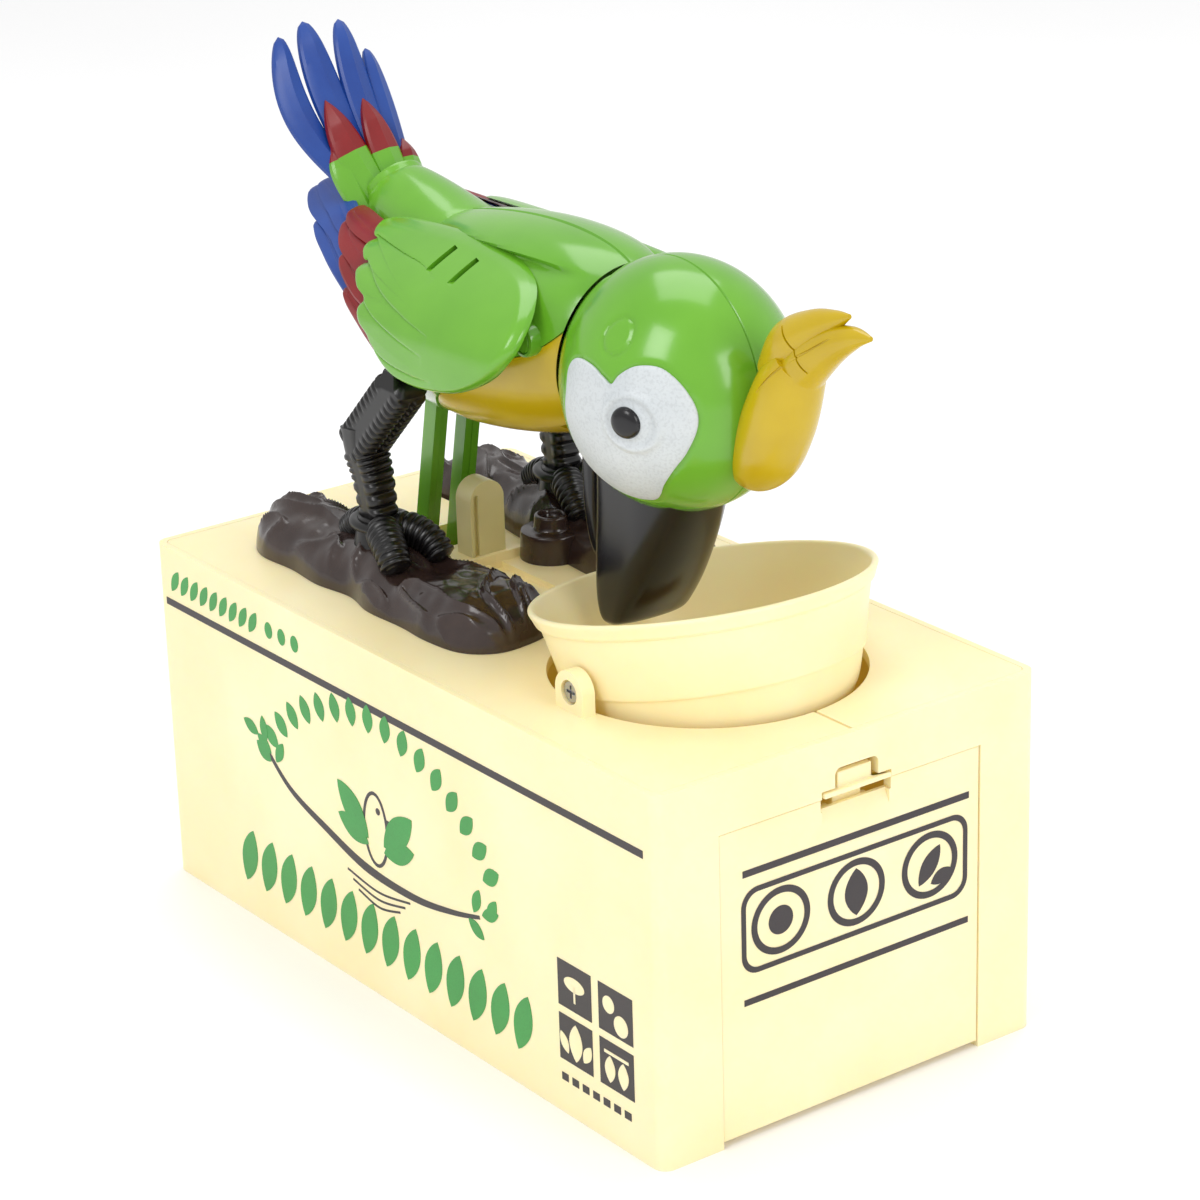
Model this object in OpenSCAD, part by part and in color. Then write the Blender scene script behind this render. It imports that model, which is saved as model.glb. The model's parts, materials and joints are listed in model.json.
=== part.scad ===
// Coin-eating parrot bank: a box with a bowl on top; a parrot bends down over the bowl,
// its beak tips the bowl and the coin drops into the box.
// +X points to the coin door, +Y to the bird's left, +Z up. Origin: centre of the box's underside.

/* [Box] */
// Length of the box, rear wall to door
box_l = 185; // [180:1:190]
// Width of the box
box_w = 98.6; // [96:0.2:102]
// Height of the box
box_h = 81.2; // [80:0.2:83]
// Thickness of the box walls
wall = 2.6; // [2.2:0.1:3]

/* [Bowl] */
// Radius of the bowl's rim
bowl_r = 36.2; // [35:0.1:36.4]
// Radius of the hole that the bowl sits in
hole_r = 33.2; // [33:0.1:34]
// How far the bowl leans back at rest, in degrees
bowl_lean = 12.2; // [11:0.2:13]

/* [Bird] */
// Half length of the body
body_a = 50; // [49:0.5:51]
// Half width of the body
body_b = 23.6; // [23:0.2:23.8]
// Radius of the head, seen from the side
head_r = 26.2; // [25.5:0.1:26.4]
// Thickness of the bird's shells
skin = 2; // [1.6:0.1:2.2]

/* [Drive] */
// Gear module
gear_m = 0.8; // [0.8:0.1:0.8]
// Teeth on the two wheels of the reduction train
wheel_teeth = 36; // [36:2:36]
// Teeth on the crank gear
crank_teeth = 40; // [40:2:40]
// Teeth on every pinion
pinion_teeth = 10; // [10:1:10]

/* [Hidden] */
$fn = 48;

run = 0.05;                 // radial clearance of a running fit
gap = 0.3;                  // gap between bodies that pass each other
hx = box_l / 2;
hy = box_w / 2;
in_x = hx - wall;           // inner faces of the walls
in_y = hy - wall;
cover_t = 2.4;
cover_z = box_h - cover_t;
lip = 1.6;                  // wall left outside the covers
floor_t = 2.4;
part_x = 9;                 // rear face of the partition
door_w = 67.2;
door_top = 68.5;
door_axis = [hx - 1.6, 0, 4.2];
latch_y = 1;
hole_x = 46.6;
bowl_axis = [48.2, 0, 85.4];
hip = [-27, 0, 128];
neck = [43, 0, 155];
rod_vec = [-13.2, 0, -66];  // from a rod's upper pivot to its lower one
arm_vec = [-13.5, 0, -2];   // from the hip to the rods' upper pivots
nod_vec = [-2.4, 0, 6.4];   // from the hip to the head link's rear pivot
rock = hip + rod_vec;       // rocker shaft
rod_y = 4.3;                // the two rods run at +rod_y and -rod_y
rod_t = 3.6;
head_c = [39.5, 0, 140.5];
body_c = [-18, 0, 140.5];
tail_root = [-64, 0, 158];
tail_lean = 31;
body_rise = 8;              // the body's axis rises towards the neck
leg_y = 25.8;
knee = [-42.5, 25.4, 112.8];
ankle = [-36.5, 24.6, 98];
crank_c = [-27, 0, 38];
mesh_1 = gear_m * (crank_teeth + pinion_teeth) / 2;
mesh_2 = gear_m * (wheel_teeth + pinion_teeth) / 2;
dir_1 = 25;                 // directions from each wheel to the next
dir_2 = 85;
dir_3 = 150;
gear_b_c = crank_c + mesh_1 * [cos(dir_1), 0, -sin(dir_1)];
gear_a_c = gear_b_c + mesh_2 * [cos(dir_2), 0, sin(dir_2)];
motor_c = gear_a_c + mesh_2 * [cos(dir_3), 0, sin(dir_3)];
plate_y = 20.4;             // inner face of the outer gearbox plate
seam_y = 1;                 // where the two halves of the top meet
column_at = [for (x = [-1, 1], y = [-1, 1]) [x * (hx - 9), y * (hy - 8)]]; // screw columns, X and Y
log_pegs = [-62, -6];
post_x = [-36.6, -31];
battery_hole = [[-79, -43, 0], [-17, -10, floor_t]];
battery_at = [[-74, -33.9, 10], [-74, -19, 10]];
lever_axis = [part_x + 4.4, 0, 58];
crank_r = 4.5;
breast_lean = 34.8;
seat_at = [-18, 0, 148];    // boss that carries each wing
eye_at = [50.4, 23.1, 139.6];
nod_y = [-1.6, 0.2];        // layer of the arms that carry the head link
link_y = [0.4, 1.9];        // layer of the head link
// Outline of the bowl's wall, as radius and height from its pivot
bowl_wall = [[0, -13], [27, -13], [29, -11], [31, -3.2], [31.2, -2.6], [32.2, 3], [33.9, 9], [34.6, 10.8],
  [35.3, 11.3], [36.2, 13], [36.1, 13.8], [35, 14], [34.2, 12.2], [32.3, 8], [30.3, 2], [29.2, -3], [27.4, -8],
  [0, -9]];

// ---------- helpers ----------
module at(p) { translate(p) children(); }
// Cylinder along +Y from y0 to y1
module ycyl(r, y0, y1) { translate([0, y0, 0]) rotate([-90, 0, 0]) cylinder(r = r, h = y1 - y0); }
// Round bar from p to q, with radius r0 at p and r1 at q
module bar(p, q, r0, r1) {
  d = q - p;
  translate(p) rotate([0, acos(d[2] / norm(d)), atan2(d[1], d[0])])
    cylinder(r1 = r0, r2 = r1, h = norm(d));
}
// Flat shape given in X and Z, cut out of a sheet that lies between y0 and y1
module sheet(y0, y1) { translate([0, y1, 0]) rotate([90, 0, 0]) linear_extrude(y1 - y0) children(); }
module disc(p, r) { translate([p[0], p[2]]) circle(r); }
// Outline of a link between two points, with round ends
module link_outline(p, q, r) {
  d = q - p;
  disc(p, r);
  disc(q, r);
  translate([p[0], p[2]]) rotate(atan2(d[2], d[0])) translate([0, -r]) square([norm(d), 2 * r]);
}
module link(p, q, r, y0, y1) { sheet(y0, y1) link_outline(p, q, r); }
// Block between two corners
module block(a, b) { translate(a) cube(b - a); }
// Rectangle with round corners, centred
module round_rect(l, w, r) {
  square([l - 2 * r, w], center = true);
  square([l, w - 2 * r], center = true);
  for (x = [-1, 1], y = [-1, 1]) translate([x * (l / 2 - r), y * (w / 2 - r)]) circle(r);
}
// Body's form, an egg of revolution with blunt ends; less makes it smaller all round
module body_form(less = 0) {
  at(body_c) rotate([0, 90 - body_rise, 0]) rotate_extrude($fn = 64)
    polygon([for (t = [0:12:180])
      [(body_b - less) * pow(abs(sin(t)), 0.62) * (1 + 0.035 * cos(t)), (body_a - less) * cos(t)]]);
}
// Ball flattened along Y
module flat_ball(r, half_w) {
  rotate([90, 0, 0]) rotate_extrude($fn = 64)
    polygon([for (t = [0:12:180]) [r * sin(t), half_w * cos(t)]]);
}
// Spur gear between y0 and y1 with straight-flanked teeth, one tooth centred on turn
module gear(teeth, y0, y1, bore, turn = 0) {
  pitch = gear_m * teeth / 2;
  step = 360 / teeth;
  outer = pitch + 0.75 * gear_m;
  root = pitch - 1.15 * gear_m;
  // half widths as angles, each thinned by 5 / pitch degrees for backlash
  wide = step * 0.36 - 5 / pitch;
  slim = step * 0.13;
  mid = step * 0.25 - 5 / pitch;
  translate([0, y1, 0]) rotate([90, 0, 0]) linear_extrude(y1 - y0) difference() {
    polygon([for (i = [0:teeth - 1], k = [[root, -wide], [pitch, -mid], [outer, -slim],
        [outer, slim], [pitch, mid], [root, wide]])
      k[0] * [cos(turn + i * step + k[1]), sin(turn + i * step + k[1])]]);
    circle(bore);
  }
}
module mirrored_y(side) { if (side > 0) children(); else mirror([0, 1, 0]) children(); }

// ---------- box ----------
module box_shell() {
  color("cornsilk") difference() {
    union() {
      difference() {
        linear_extrude(box_h) round_rect(box_l, box_w, 3);
        translate([0, 0, -1]) linear_extrude(cover_z + 1) round_rect(2 * in_x, 2 * in_y, 1.5);
        translate([0, 0, cover_z]) linear_extrude(cover_t + 1)
          round_rect(box_l - 2 * lip, box_w - 2 * lip, 2);
      }
      for (p = column_at) difference() {
        translate([p[0], p[1], floor_t]) cylinder(r = 3.4, h = cover_z - floor_t);
        translate([p[0], p[1], 0]) cylinder(r = 1.3, h = 20);
      }
      for (p = column_at) mirrored_y(p[1])
        block([p[0] - 0.8, abs(p[1]) + 3, floor_t], [p[0] + 0.8, in_y + 0.5, cover_z]);
    }
    // door opening with its hinge sockets
    block([in_x - 1, -door_w / 2 - gap, -1], [hx + 1, door_w / 2 + gap, door_top + gap]);
    at(door_axis) ycyl(0.9 + run, -door_w / 2 - 3.2, door_w / 2 + 3.2);
    // thumb notch over the latch
    block([in_x - 1, latch_y - 9, door_top], [hx + 1, latch_y + 9, 70.4]);
    block([in_x - 1, latch_y - 5.6, door_top], [hx + 1, latch_y + 5.6, 73]);
    block([in_x - 1, latch_y - 4.1, door_top], [hx + 1, latch_y + 4.1, 74.5]);
    for (s = [-1, 1]) translate([in_x - 1, latch_y + s * 4.1, 73]) rotate([0, 90, 0])
      cylinder(r = 1.5, h = wall + 2);
    // slot for the power knob
    block([-hx - 1, 20, 16], [-in_x + 1, 33, 21]);
  }
}

// One half of the top: the two meet along y = seam_y, with a channel from the post to the bowl
module cover_half(side) {
  rim_x = hx - lip - 0.1;
  rim_y = hy - lip - 0.1;
  difference() {
    union() {
      translate([0, 0, cover_z]) linear_extrude(cover_t) intersection() {
        round_rect(2 * rim_x, 2 * rim_y, 1.9);
        translate([-hx, side > 0 ? seam_y : seam_y - box_w]) square([box_l, box_w]);
      }
      // raised pad at the rear, with a tongue to the guide post
      intersection() {
        union() {
          block([-rim_x, -13, box_h], [-46, 13, box_h + 2.2]);
          block([-60, -8.6, box_h], [post_x[1] + 1, 8.6, box_h + 2.2]);
        }
        block([-hx, side > 0 ? seam_y : -hy, 0], [hx, side > 0 ? hy : seam_y, 200]);
      }
      // bowl ear
      mirrored_y(side) {
        block([bowl_axis[0] - 4.6, 33.4, cover_z], [bowl_axis[0] + 4.6, 36.6, bowl_axis[2]]);
        at(bowl_axis) ycyl(4.6, 33.4, 36.6);
      }
    }
    translate([hole_x, 0, 0]) cylinder(r = hole_r - 0.4, h = cover_z + 1.2);
    difference() {
      translate([hole_x, 0, cover_z - 1]) cylinder(r = hole_r, h = 20);
      mirrored_y(side) block([bowl_axis[0] - 4.6, 33.4, box_h], [bowl_axis[0] + 4.6, 40, 120]);
    }
    // rod slot, channel and front slit
    block([-53, -7, 0], [-40.6, 7, 100]);
    block([post_x[1] + 1, -0.7, cover_z + 1], [15, 2.7, 100]);
    block([78, seam_y - 0.35, 0], [hx, seam_y + 0.35, 100]);
    // screw hole through the ear, with the recess for the screw's head
    at(bowl_axis) mirrored_y(side) {
      ycyl(1.5 + run, 30, 38);
      ycyl(2.6, 34.9, 38);
    }
    // pegs of the guide post and of the logs
    for (s = [-1, 1]) translate([post_x[0] + 2.8, 3 * s, 0]) cylinder(r = 1.2, h = 100);
    for (x = log_pegs) mirrored_y(side) translate([x, 22, 0]) cylinder(r = 1.5, h = 100);
  }
}
module cover_right() { color("cornsilk") cover_half(-1); }
module cover_left() { color("cornsilk") cover_half(1); }

// Post behind the bowl, open to the rear, that keeps fingers off the rods
module guide_post() {
  top_z = 100.5;
  foot_z = box_h + 2.2;
  color("khaki") difference() {
    union() {
      block([post_x[0], -4.5, foot_z], [post_x[1], 4.5, top_z - 4.5]);
      translate([post_x[0], 0, top_z - 4.5]) rotate([0, 90, 0]) cylinder(r = 4.5, h = post_x[1] - post_x[0]);
      for (s = [-1, 1]) translate([post_x[0] + 2.8, 3 * s, cover_z]) cylinder(r = 1.2, h = cover_t + 3);
    }
    block([post_x[0] - 1, -2.6, foot_z + 1.4], [post_x[1] - 2.2, 2.6, top_z - 6]);
    block([post_x[1] - 1, -3.6, foot_z - 1], [post_x[1] + 1, -2.4, top_z - 3]);
  }
}

module bottom_plate() {
  color("wheat") difference() {
    union() {
      translate([0, 0, 0]) linear_extrude(floor_t) difference() {
        round_rect(2 * in_x - 0.2, 2 * in_y - 0.2, 1.4);
        translate([door_axis[0] - 3.4, -door_w / 2 - 1]) square([20, door_w + 2]);
      }
      // battery tray walls
      for (y = [battery_hole[0][1], battery_hole[1][1] - 1.6])
        block([battery_hole[0][0], y, floor_t], [battery_hole[1][0], y + 1.6, 16]);
    }
    block(battery_hole[0] + [1, 2.2, -1], battery_hole[1] + [-1, -2.2, 1]);
    block(battery_hole[0] + [0, 1.6, -1], [battery_hole[1][0], battery_hole[1][1] - 1.6, 1.4]);
    for (p = column_at) translate([p[0], p[1], 0]) {
      cylinder(r = 1.3, h = 10);
      cylinder(r = 2.7, h = 1.5);
    }
  }
}
module battery_cover() {
  color("wheat") difference() {
    union() {
      block(battery_hole[0] + [0.2, 1.8, 0], [battery_hole[1][0] - 0.2, battery_hole[1][1] - 1.8, 1.4]);
      block(battery_hole[0] + [1.2, 2.4, 1.4], battery_hole[1] - [1.2, 2.4, 0]);
    }
    for (i = [0:5]) block([-34 + 2.4 * i, -36, -1], [-33 + 2.4 * i, -18, 0.5]);
  }
}
module case_screws() {
  color("silver") for (p = column_at) translate([p[0], p[1], 0]) difference() {
    union() {
      translate([0, 0, 0.1]) cylinder(r = 2.6, h = 1.4);
      translate([0, 0, 1.5]) cylinder(r = 1.3, h = 12);
    }
    for (a = [0, 90]) rotate([0, 0, a]) translate([-1.6, -0.35, 0]) cube([3.2, 0.7, 0.8]);
  }
}
// Wall between the works and the coins
module partition() {
  color("cornsilk") difference() {
    block([part_x, -in_y + 0.1, floor_t], [part_x + 1.8, in_y - 0.1, cover_z]);
    block([part_x - 1, -9, 50], [part_x + 3, 9, 66]);
    for (p = column_at) translate([p[0], p[1], 0]) cylinder(r = 4, h = 90);
  }
}
module batteries() {
  color("dimgray") for (p = battery_at) translate(p) rotate([0, 90, 0]) {
    cylinder(r = 7.1, h = 48.5);
    cylinder(r = 2.6, h = 50.3);
  }
}
module battery_contacts() {
  color("silver") for (p = battery_at) {
    translate(p + [-1.2, 0, 0]) rotate([0, 90, 0]) cylinder(r = 4.4, h = 0.6);
    for (i = [0:1]) translate(p + [-0.6 + 0.3 * i, 0, 0]) rotate([0, 90, 0])
      cylinder(r = 3.4 - i, h = 0.3);
    block(p + [50.4, -3.6, -4], p + [50.9, 3.6, 4]);
    block(p + [-1.9, -5, -7.5], p + [-1.2, 5, 5]);
    block(p + [50.9, -5, -7.5], p + [51.5, 5, 5]);
  }
}

// ---------- drive ----------
module gearbox_frame() {
  shaft_at = [crank_c, gear_b_c, gear_a_c];
  color("whitesmoke") difference() {
    union() {
      block([-50, plate_y, floor_t], [6, plate_y + 1.6, 70]);
      block([-47, -9, floor_t], [-33, -7.4, 68]);
      block([-50, -9, floor_t], [6, plate_y + 0.1, floor_t + 2]);
      block([-50, plate_y + 1.6, floor_t], [6, plate_y + 8, floor_t + 2]);
      // cradle of the motor
      at(motor_c) ycyl(11.6, plate_y + 1.6, plate_y + 12);
      for (p = shaft_at) at(p) ycyl(3, plate_y + 1.6, plate_y + 4);
      at(rock) ycyl(3.4, plate_y - 2.6, plate_y + 3);
    }
    at(motor_c) {
      ycyl(10.05, plate_y + 1.6, plate_y + 13);
      ycyl(3.2, plate_y - 1, plate_y + 3);
      block([-13, plate_y + 3.6, -20], [13, plate_y + 13, -6]);
    }
    for (p = shaft_at) at(p) ycyl(1.5, plate_y - 1, plate_y + 5);
    at(rock) ycyl(1.8, -10, plate_y + 5);
    block([-31, plate_y - 1, floor_t + 6], [-3, plate_y + 3, 12.5]);
  }
}
module motor() {
  color("silver") at(motor_c) {
    ycyl(10, plate_y + 1.7, plate_y + 23);
    ycyl(3.1, plate_y - 0.2, plate_y + 1.7);
    ycyl(3.4, plate_y + 23, plate_y + 24.6);
    for (s = [-1, 1]) block([s * 6 - 1, plate_y + 23, -1.2], [s * 6 + 1, plate_y + 25.8, 1.2]);
  }
}
// Fixed stub shafts that the three wheels turn on
module gear_shafts() {
  color("silver") for (p = [crank_c, gear_b_c, gear_a_c]) at(p) ycyl(1.5, 7.6, plate_y + 4.6);
}
module rocker_shaft() { color("silver") at(rock) ycyl(1.8, -9.6, plate_y + 3.4); }

module crank_gear() {
  color("ivory") at(crank_c) difference() {
    union() {
      gear(crank_teeth, 8, 11, 1.5 + run);
      ycyl(3.4, 11, plate_y - gap);
      translate([0, 0, -crank_r]) ycyl(1.3, 6.5, 8.5);
    }
    ycyl(1.5 + run, 7, plate_y);
    for (a = [45:90:315]) rotate([0, a, 0]) translate([10, 0, 0]) ycyl(2.6, 7, 12);
  }
}
// A wheel with a pinion on its near side: wheel between y0 and y0 + 3, pinion 4 in front of it
module double_gear(y0, turn_wheel, turn_pinion) {
  gear(wheel_teeth, y0, y0 + 2.8, 1.5 + run, turn_wheel);
  gear(pinion_teeth, y0 - 4, y0, 1.5 + run, turn_pinion);
  difference() {
    ycyl(2.9, y0 + 2.8, plate_y - gap);
    ycyl(1.5 + run, y0, plate_y);
  }
}
// Turn that sets a pinion's teeth in the gaps of a wheel with a tooth at angle 0, whose
// centre is behind the pinion along the direction dir
function meshed(dir, teeth) = dir + 180 + dir * teeth / pinion_teeth + 180 / pinion_teeth;
module gear_b() {
  color("ivory") at(gear_b_c) double_gear(12, 0, meshed(-dir_1, crank_teeth));
}
module gear_a() {
  color("ivory") at(gear_a_c) double_gear(16, 0, meshed(dir_2, wheel_teeth));
}
module motor_pinion() {
  color("gold") at(motor_c) {
    gear(pinion_teeth, 15.8, 19, 0.01, meshed(dir_3, wheel_teeth));
    ycyl(1, 15.8, plate_y - 0.2);
  }
}

// A rocker: arm to a rod's lower pivot, tail with a slot for the crank pin
module rocker(side, tail) {
  y0 = rod_y - rod_t / 2;
  mirrored_y(side) {
    sheet(y0, y0 + rod_t) difference() {
      union() {
        link_outline(rock, tail, 3.2);
        disc(rock, 3.8);
      }
      disc(rock, 1.8 + run);
      link_outline(tail, tail + 0.22 * (rock - tail), 1.6);
    }
    sheet(y0 + 0.2, rod_y - 0.1) difference() {
      link_outline(rock + 0.4 * arm_vec, rock + arm_vec, 2.7);
      disc(rock + arm_vec, 1.2 + run);
    }
  }
}
module rocker_body() { color("ivory") rocker(1, [crank_c[0] - 2, 0, crank_c[2] - crank_r]); }
module rocker_head() { color("ivory") rocker(-1, [crank_c[0] - 1, 0, crank_c[2] + 1]); }

// A push rod: its ends lie beside the arms that it joins, with a pin through each
module push_rod(side) {
  top = hip + arm_vec;
  low = top + rod_vec;
  along = rod_vec / norm(rod_vec);
  thin_low = side > 0 ? 13 : 19;
  mirrored_y(side) {
    link(top, low, 2.2, rod_y, rod_y + rod_t / 2);
    link(top + 9 * along, low - thin_low * along, 1.9, rod_y - rod_t / 2, rod_y + rod_t / 2);
    for (p = [top, low]) at(p) ycyl(1.2, rod_y - rod_t / 2, rod_y + rod_t / 2);
  }
}
module push_rod_left() { color("forestgreen") push_rod(1); }
module push_rod_right() { color("forestgreen") push_rod(-1); }

// ---------- logs, legs and feet ----------
// Low log of half-round billets laid end to end, with knots
module log(side) {
  mirrored_y(side) difference() {
    union() {
      for (k = [[-71, 21, 13, 9], [-56, 21, 12, 10], [-40, 22, 13, 10], [-22, 21, 12.5, 9], [-4, 20, 11, 9]])
        translate([k[0], k[1], box_h - 1]) scale_ball(k[2], k[3]);
      bar([-74, 20, box_h + 1], [10, 21, box_h + 0.5], 7, 6);
      translate([-26, 13.6, box_h]) cylinder(r = 5, h = 9.5);
      for (x = log_pegs) translate([x, 22, cover_z]) cylinder(r = 1.5, h = cover_t + 2);
    }
    difference() {
      block([-100, -10, 0], [40, 60, box_h]);
      for (x = log_pegs) translate([x, 22, cover_z]) cylinder(r = 1.5, h = 20);
    }
    block([-100, -10, 60], [40, 8.6, 120]);
    // room for the raised pad of the cover
    block([-100, -10, 60], [-45.8, 13.1, box_h + 2.3]);
    translate([-26, 13.6, box_h + 8]) cylinder(r = 3.2, h = 9);
  }
}
module scale_ball(r, h) {
  intersection() {
    rotate_extrude($fn = 40) polygon([for (t = [0:15:90]) [r * cos(t), (h + 1) * sin(t)], [0, 0]]);
    translate([0, 0, 0]) cylinder(r = r, h = h + 2);
  }
}
module log_right() { color("saddlebrown") log(-1); }
module log_left() { color("saddlebrown") log(1); }

// Ribbed thigh and shin, with a flat eye on the hip shaft
module leg(side) {
  top = [hip[0], leg_y, hip[2]];
  thigh = knee - top;
  shin = ankle - knee;
  mirrored_y(side) difference() {
    union() {
      link(hip, hip + 0.45 * [thigh[0], 0, thigh[2]], 4.2, 23.6, 27.6);
      bar(top + 0.34 * thigh, knee, 4.4, 4.8);
      for (i = [0:6]) let (p = top + (0.36 + i * 0.085) * thigh) bar(p, p + 0.04 * thigh, 5.2, 5.2);
      at(knee) sphere(5, $fn = 32);
      bar(knee, ankle, 4.6, 3.2);
      for (i = [0:4]) let (p = knee + (0.28 + i * 0.12) * shin) bar(p, p + 0.05 * shin, 4.9 - 0.2 * i, 4.8 - 0.2 * i);
    }
    at(hip) ycyl(1.8, 20, 26.4);
  }
}
module leg_right() { color("dimgray") leg(-1); }
module leg_left() { color("dimgray") leg(1); }

// Ankle ring, two front toes and one hind toe
module foot(side) {
  mirrored_y(side) {
    bar(ankle - [0, 0, 4.4], ankle + [0, 0, 1.2], 5, 4.2);
    for (y = [-6.5, 5.5]) bar(ankle + [0, y * 0.2, -2.6], ankle + [17, y, -6.8], 3.4, 1.9);
    bar(ankle - [0, 0, 2.4], ankle + [-12, 0, -4.6], 3.1, 1.6);
  }
}
module foot_right() { color("black") foot(-1); }
module foot_left() { color("black") foot(1); }
module hip_shaft() { color("silver") at(hip) ycyl(1.8, -26.4, 26.4); }

// ---------- bird ----------
// Plane that parts the yellow breast from the green halves, as a block below it
module below_breast_plane(lift = 0) {
  translate([-18, 0, 127 + lift]) rotate([0, -breast_lean, 0]) translate([-90, -50, -100]) cube([200, 100, 100]);
}
module body_skin() {
  difference() {
    body_form();
    at(head_c) sphere(head_r + 0.9, $fn = 64);
    difference() {
      body_form(skin);
      at(head_c) sphere(head_r + 0.9 + skin, $fn = 64);
    }
    // neck opening and belly slot
    block([0, -8.4, 145], [30, 8.4, 155.5]);
    block([-53, -8, 100], [-35, 8, 128]);
    // room for the beak under the chin
    block([12, -10.5, 100], [40, 10.5, 133]);
    at(hip) ycyl(1.8 + run, -40, 40);
  }
}
module body_half(side) {
  mirrored_y(side) difference() {
    union() {
      intersection() {
        body_skin();
        block([-90, 0, 90], [40, 40, 190]);
      }
      // rump that carries the tail
      intersection() {
        difference() {
          bar([-46, 0, 146], [-66, 0, 162], 15, 9);
          body_form(skin);
        }
        block([-90, 0, 90], [40, 40, 190]);
      }
      // hip boss
      difference() {
        at(hip) ycyl(4, 9.5, 19.6);
        at(hip) ycyl(1.8 + run, 0, 40);
      }
      // seat for the wing
      intersection() {
        at(seat_at) ycyl(5, 18, 23.6);
        difference() {
          block([-90, 0, 90], [40, 40, 190]);
          body_form(skin);
        }
      }
    }
    difference() {
      below_breast_plane();
      at(hip) ycyl(4, -40, 40);
    }
    // socket of the tail
    at(tail_root) rotate([0, -tail_lean, 0]) translate([0, 0, -3]) cylinder(r = 6.5, h = 22);
  }
}
module body_right() { color("yellowgreen") body_half(-1); }
module body_left() { color("yellowgreen") body_half(1); }
module breast() {
  color("gold") difference() {
    intersection() {
      body_skin();
      below_breast_plane();
    }
    at(hip) ycyl(4.02, -40, 40);
  }
}

// Outline of a wing in side view: feather tips behind, broad shoulder in front
module wing_outline() {
  polygon([[-29, 133.5], [-14.8, 132.6], [-2.1, 134], [10.2, 138.5], [18.8, 145], [21.6, 150.6], [20.3, 155.2],
    [15, 159.5], [5, 162.2], [-8, 163.3], [-20, 163.1], [-32, 162.4], [-52, 160.6], [-66, 160.4], [-66, 155],
    [-56, 151.5], [-53, 146], [-46, 138.6]]);
  for (k = [[-36, 140, 5], [-45, 144.5, 5.5], [-51, 151, 5.5], [-64, 157.6, 3]])
    translate([k[0], k[1]]) circle(k[2], $fn = 32);
}
// Space inside a wing, in front view: straight below, bowed over the back
module wing_front(less = 0) {
  rotate([90, 0, 90]) translate([0, 0, -90]) linear_extrude(180)
    polygon([[0, 110], [30.2 - less, 110], [30.2 - less, 143], [28.8 - less, 149], [25.8 - less, 154],
      [21.2 - less, 159], [16 - less, 163.6], [0, 166]]);
}
module wing(side) {
  mirrored_y(side) difference() {
    intersection() {
      wing_front();
      union() {
        sheet(10, 40) wing_outline();
        at(seat_at) ycyl(5, 23.6, 40);
      }
      difference() {
        block([-90, 10, 100], [40, 40, 180]);
        difference() {
          wing_front(2);
          at(seat_at) ycyl(5, 23.6, 40);
        }
      }
    }
    for (x = [-13, -4.6]) translate([x, 12, 157.2]) rotate([0, 34, 0]) cube([1.6, 20, 6]);
  }
}
module wing_right() { color("yellowgreen") wing(-1); }
module wing_left() { color("yellowgreen") wing(1); }

// Blade with a pointed oval outline, length along +Z, thickness along X
module blade(len, w, t) {
  rotate([0, -90, 0]) translate([0, 0, -t / 2]) linear_extrude(t)
    polygon([for (i = [0:8]) [len * i / 8, -w * pow(sin(20 + 155 * i / 8), 0.8)],
      for (i = [8:-1:0]) [len * i / 8, w * pow(sin(20 + 155 * i / 8), 0.8)]]);
}
module tail_fan() {
  color("royalblue") difference() {
    at(tail_root) rotate([0, -tail_lean, 0]) {
      cylinder(r = 6.4, h = 9);
      translate([0, 0, 8]) cylinder(r1 = 6.4, r2 = 8, h = 6);
      for (i = [0:3]) rotate([(i - 1.5) * -11, 0, 0]) translate([-1.5 - 0.2 * i, 0, 10]) blade(31, 4.2, 2.4);
      for (i = [0:3]) rotate([(i - 1.5) * -12, 0, 0]) translate([1.2, 0, 8]) blade(17, 4, 2.8);
    }
    body_form(skin + 6);
  }
}

// Fork that carries the head
module neck_arm() {
  color("yellowgreen") difference() {
    union() {
      for (s = [-1, 1]) link([4, 0, 148.5], neck, 3.4, s * 6.3 - 1.2, s * 6.3 + 1.2);
      block([-4, -7.5, 157], [3.4, 7.5, 170]);
      for (s = [-1, 1]) block([-4, s * 6.3 - 1.2, 146], [4, s * 6.3 + 1.2, 170]);
    }
    at(neck) ycyl(1.5, -20, 20);
    difference() {
      block([-60, -20, 100], [60, 20, 200]);
      body_form(skin);
      block([4.5, -10, 100], [80, 10, 200]);
    }
  }
}
module neck_pin() { color("silver") at(neck) ycyl(1.5, -17.4, 17.4); }

module head_skin() {
  difference() {
    at(head_c) flat_ball(head_r, 23.6);
    at(head_c) flat_ball(head_r - skin, 23.6 - skin);
    // neck slot at the rear, tall enough for the nod
    block([8, -8.9, 145.8], [29, 8.9, 163.4]);
    // mouth
    block([16.8, -10, 100], [48.2, 10, 131]);
  }
}
module head_half(side) {
  mirrored_y(side) difference() {
    union() {
      intersection() {
        head_skin();
        block([0, 0, 100], [90, 40, 180]);
      }
      intersection() {
        at(neck) ycyl(3.4, 8.2, 22);
        at(head_c) flat_ball(head_r - 0.5, 23.1);
      }
    }
    at(neck) ycyl(1.5 + run, 0, 17.7);
    at_eye() translate([0, 0, -10]) cylinder(r = 3.4, h = 20);
  }
}
module head_right() { color("yellowgreen") head_half(-1); }
module head_left() { color("yellowgreen") head_half(1); }

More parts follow.
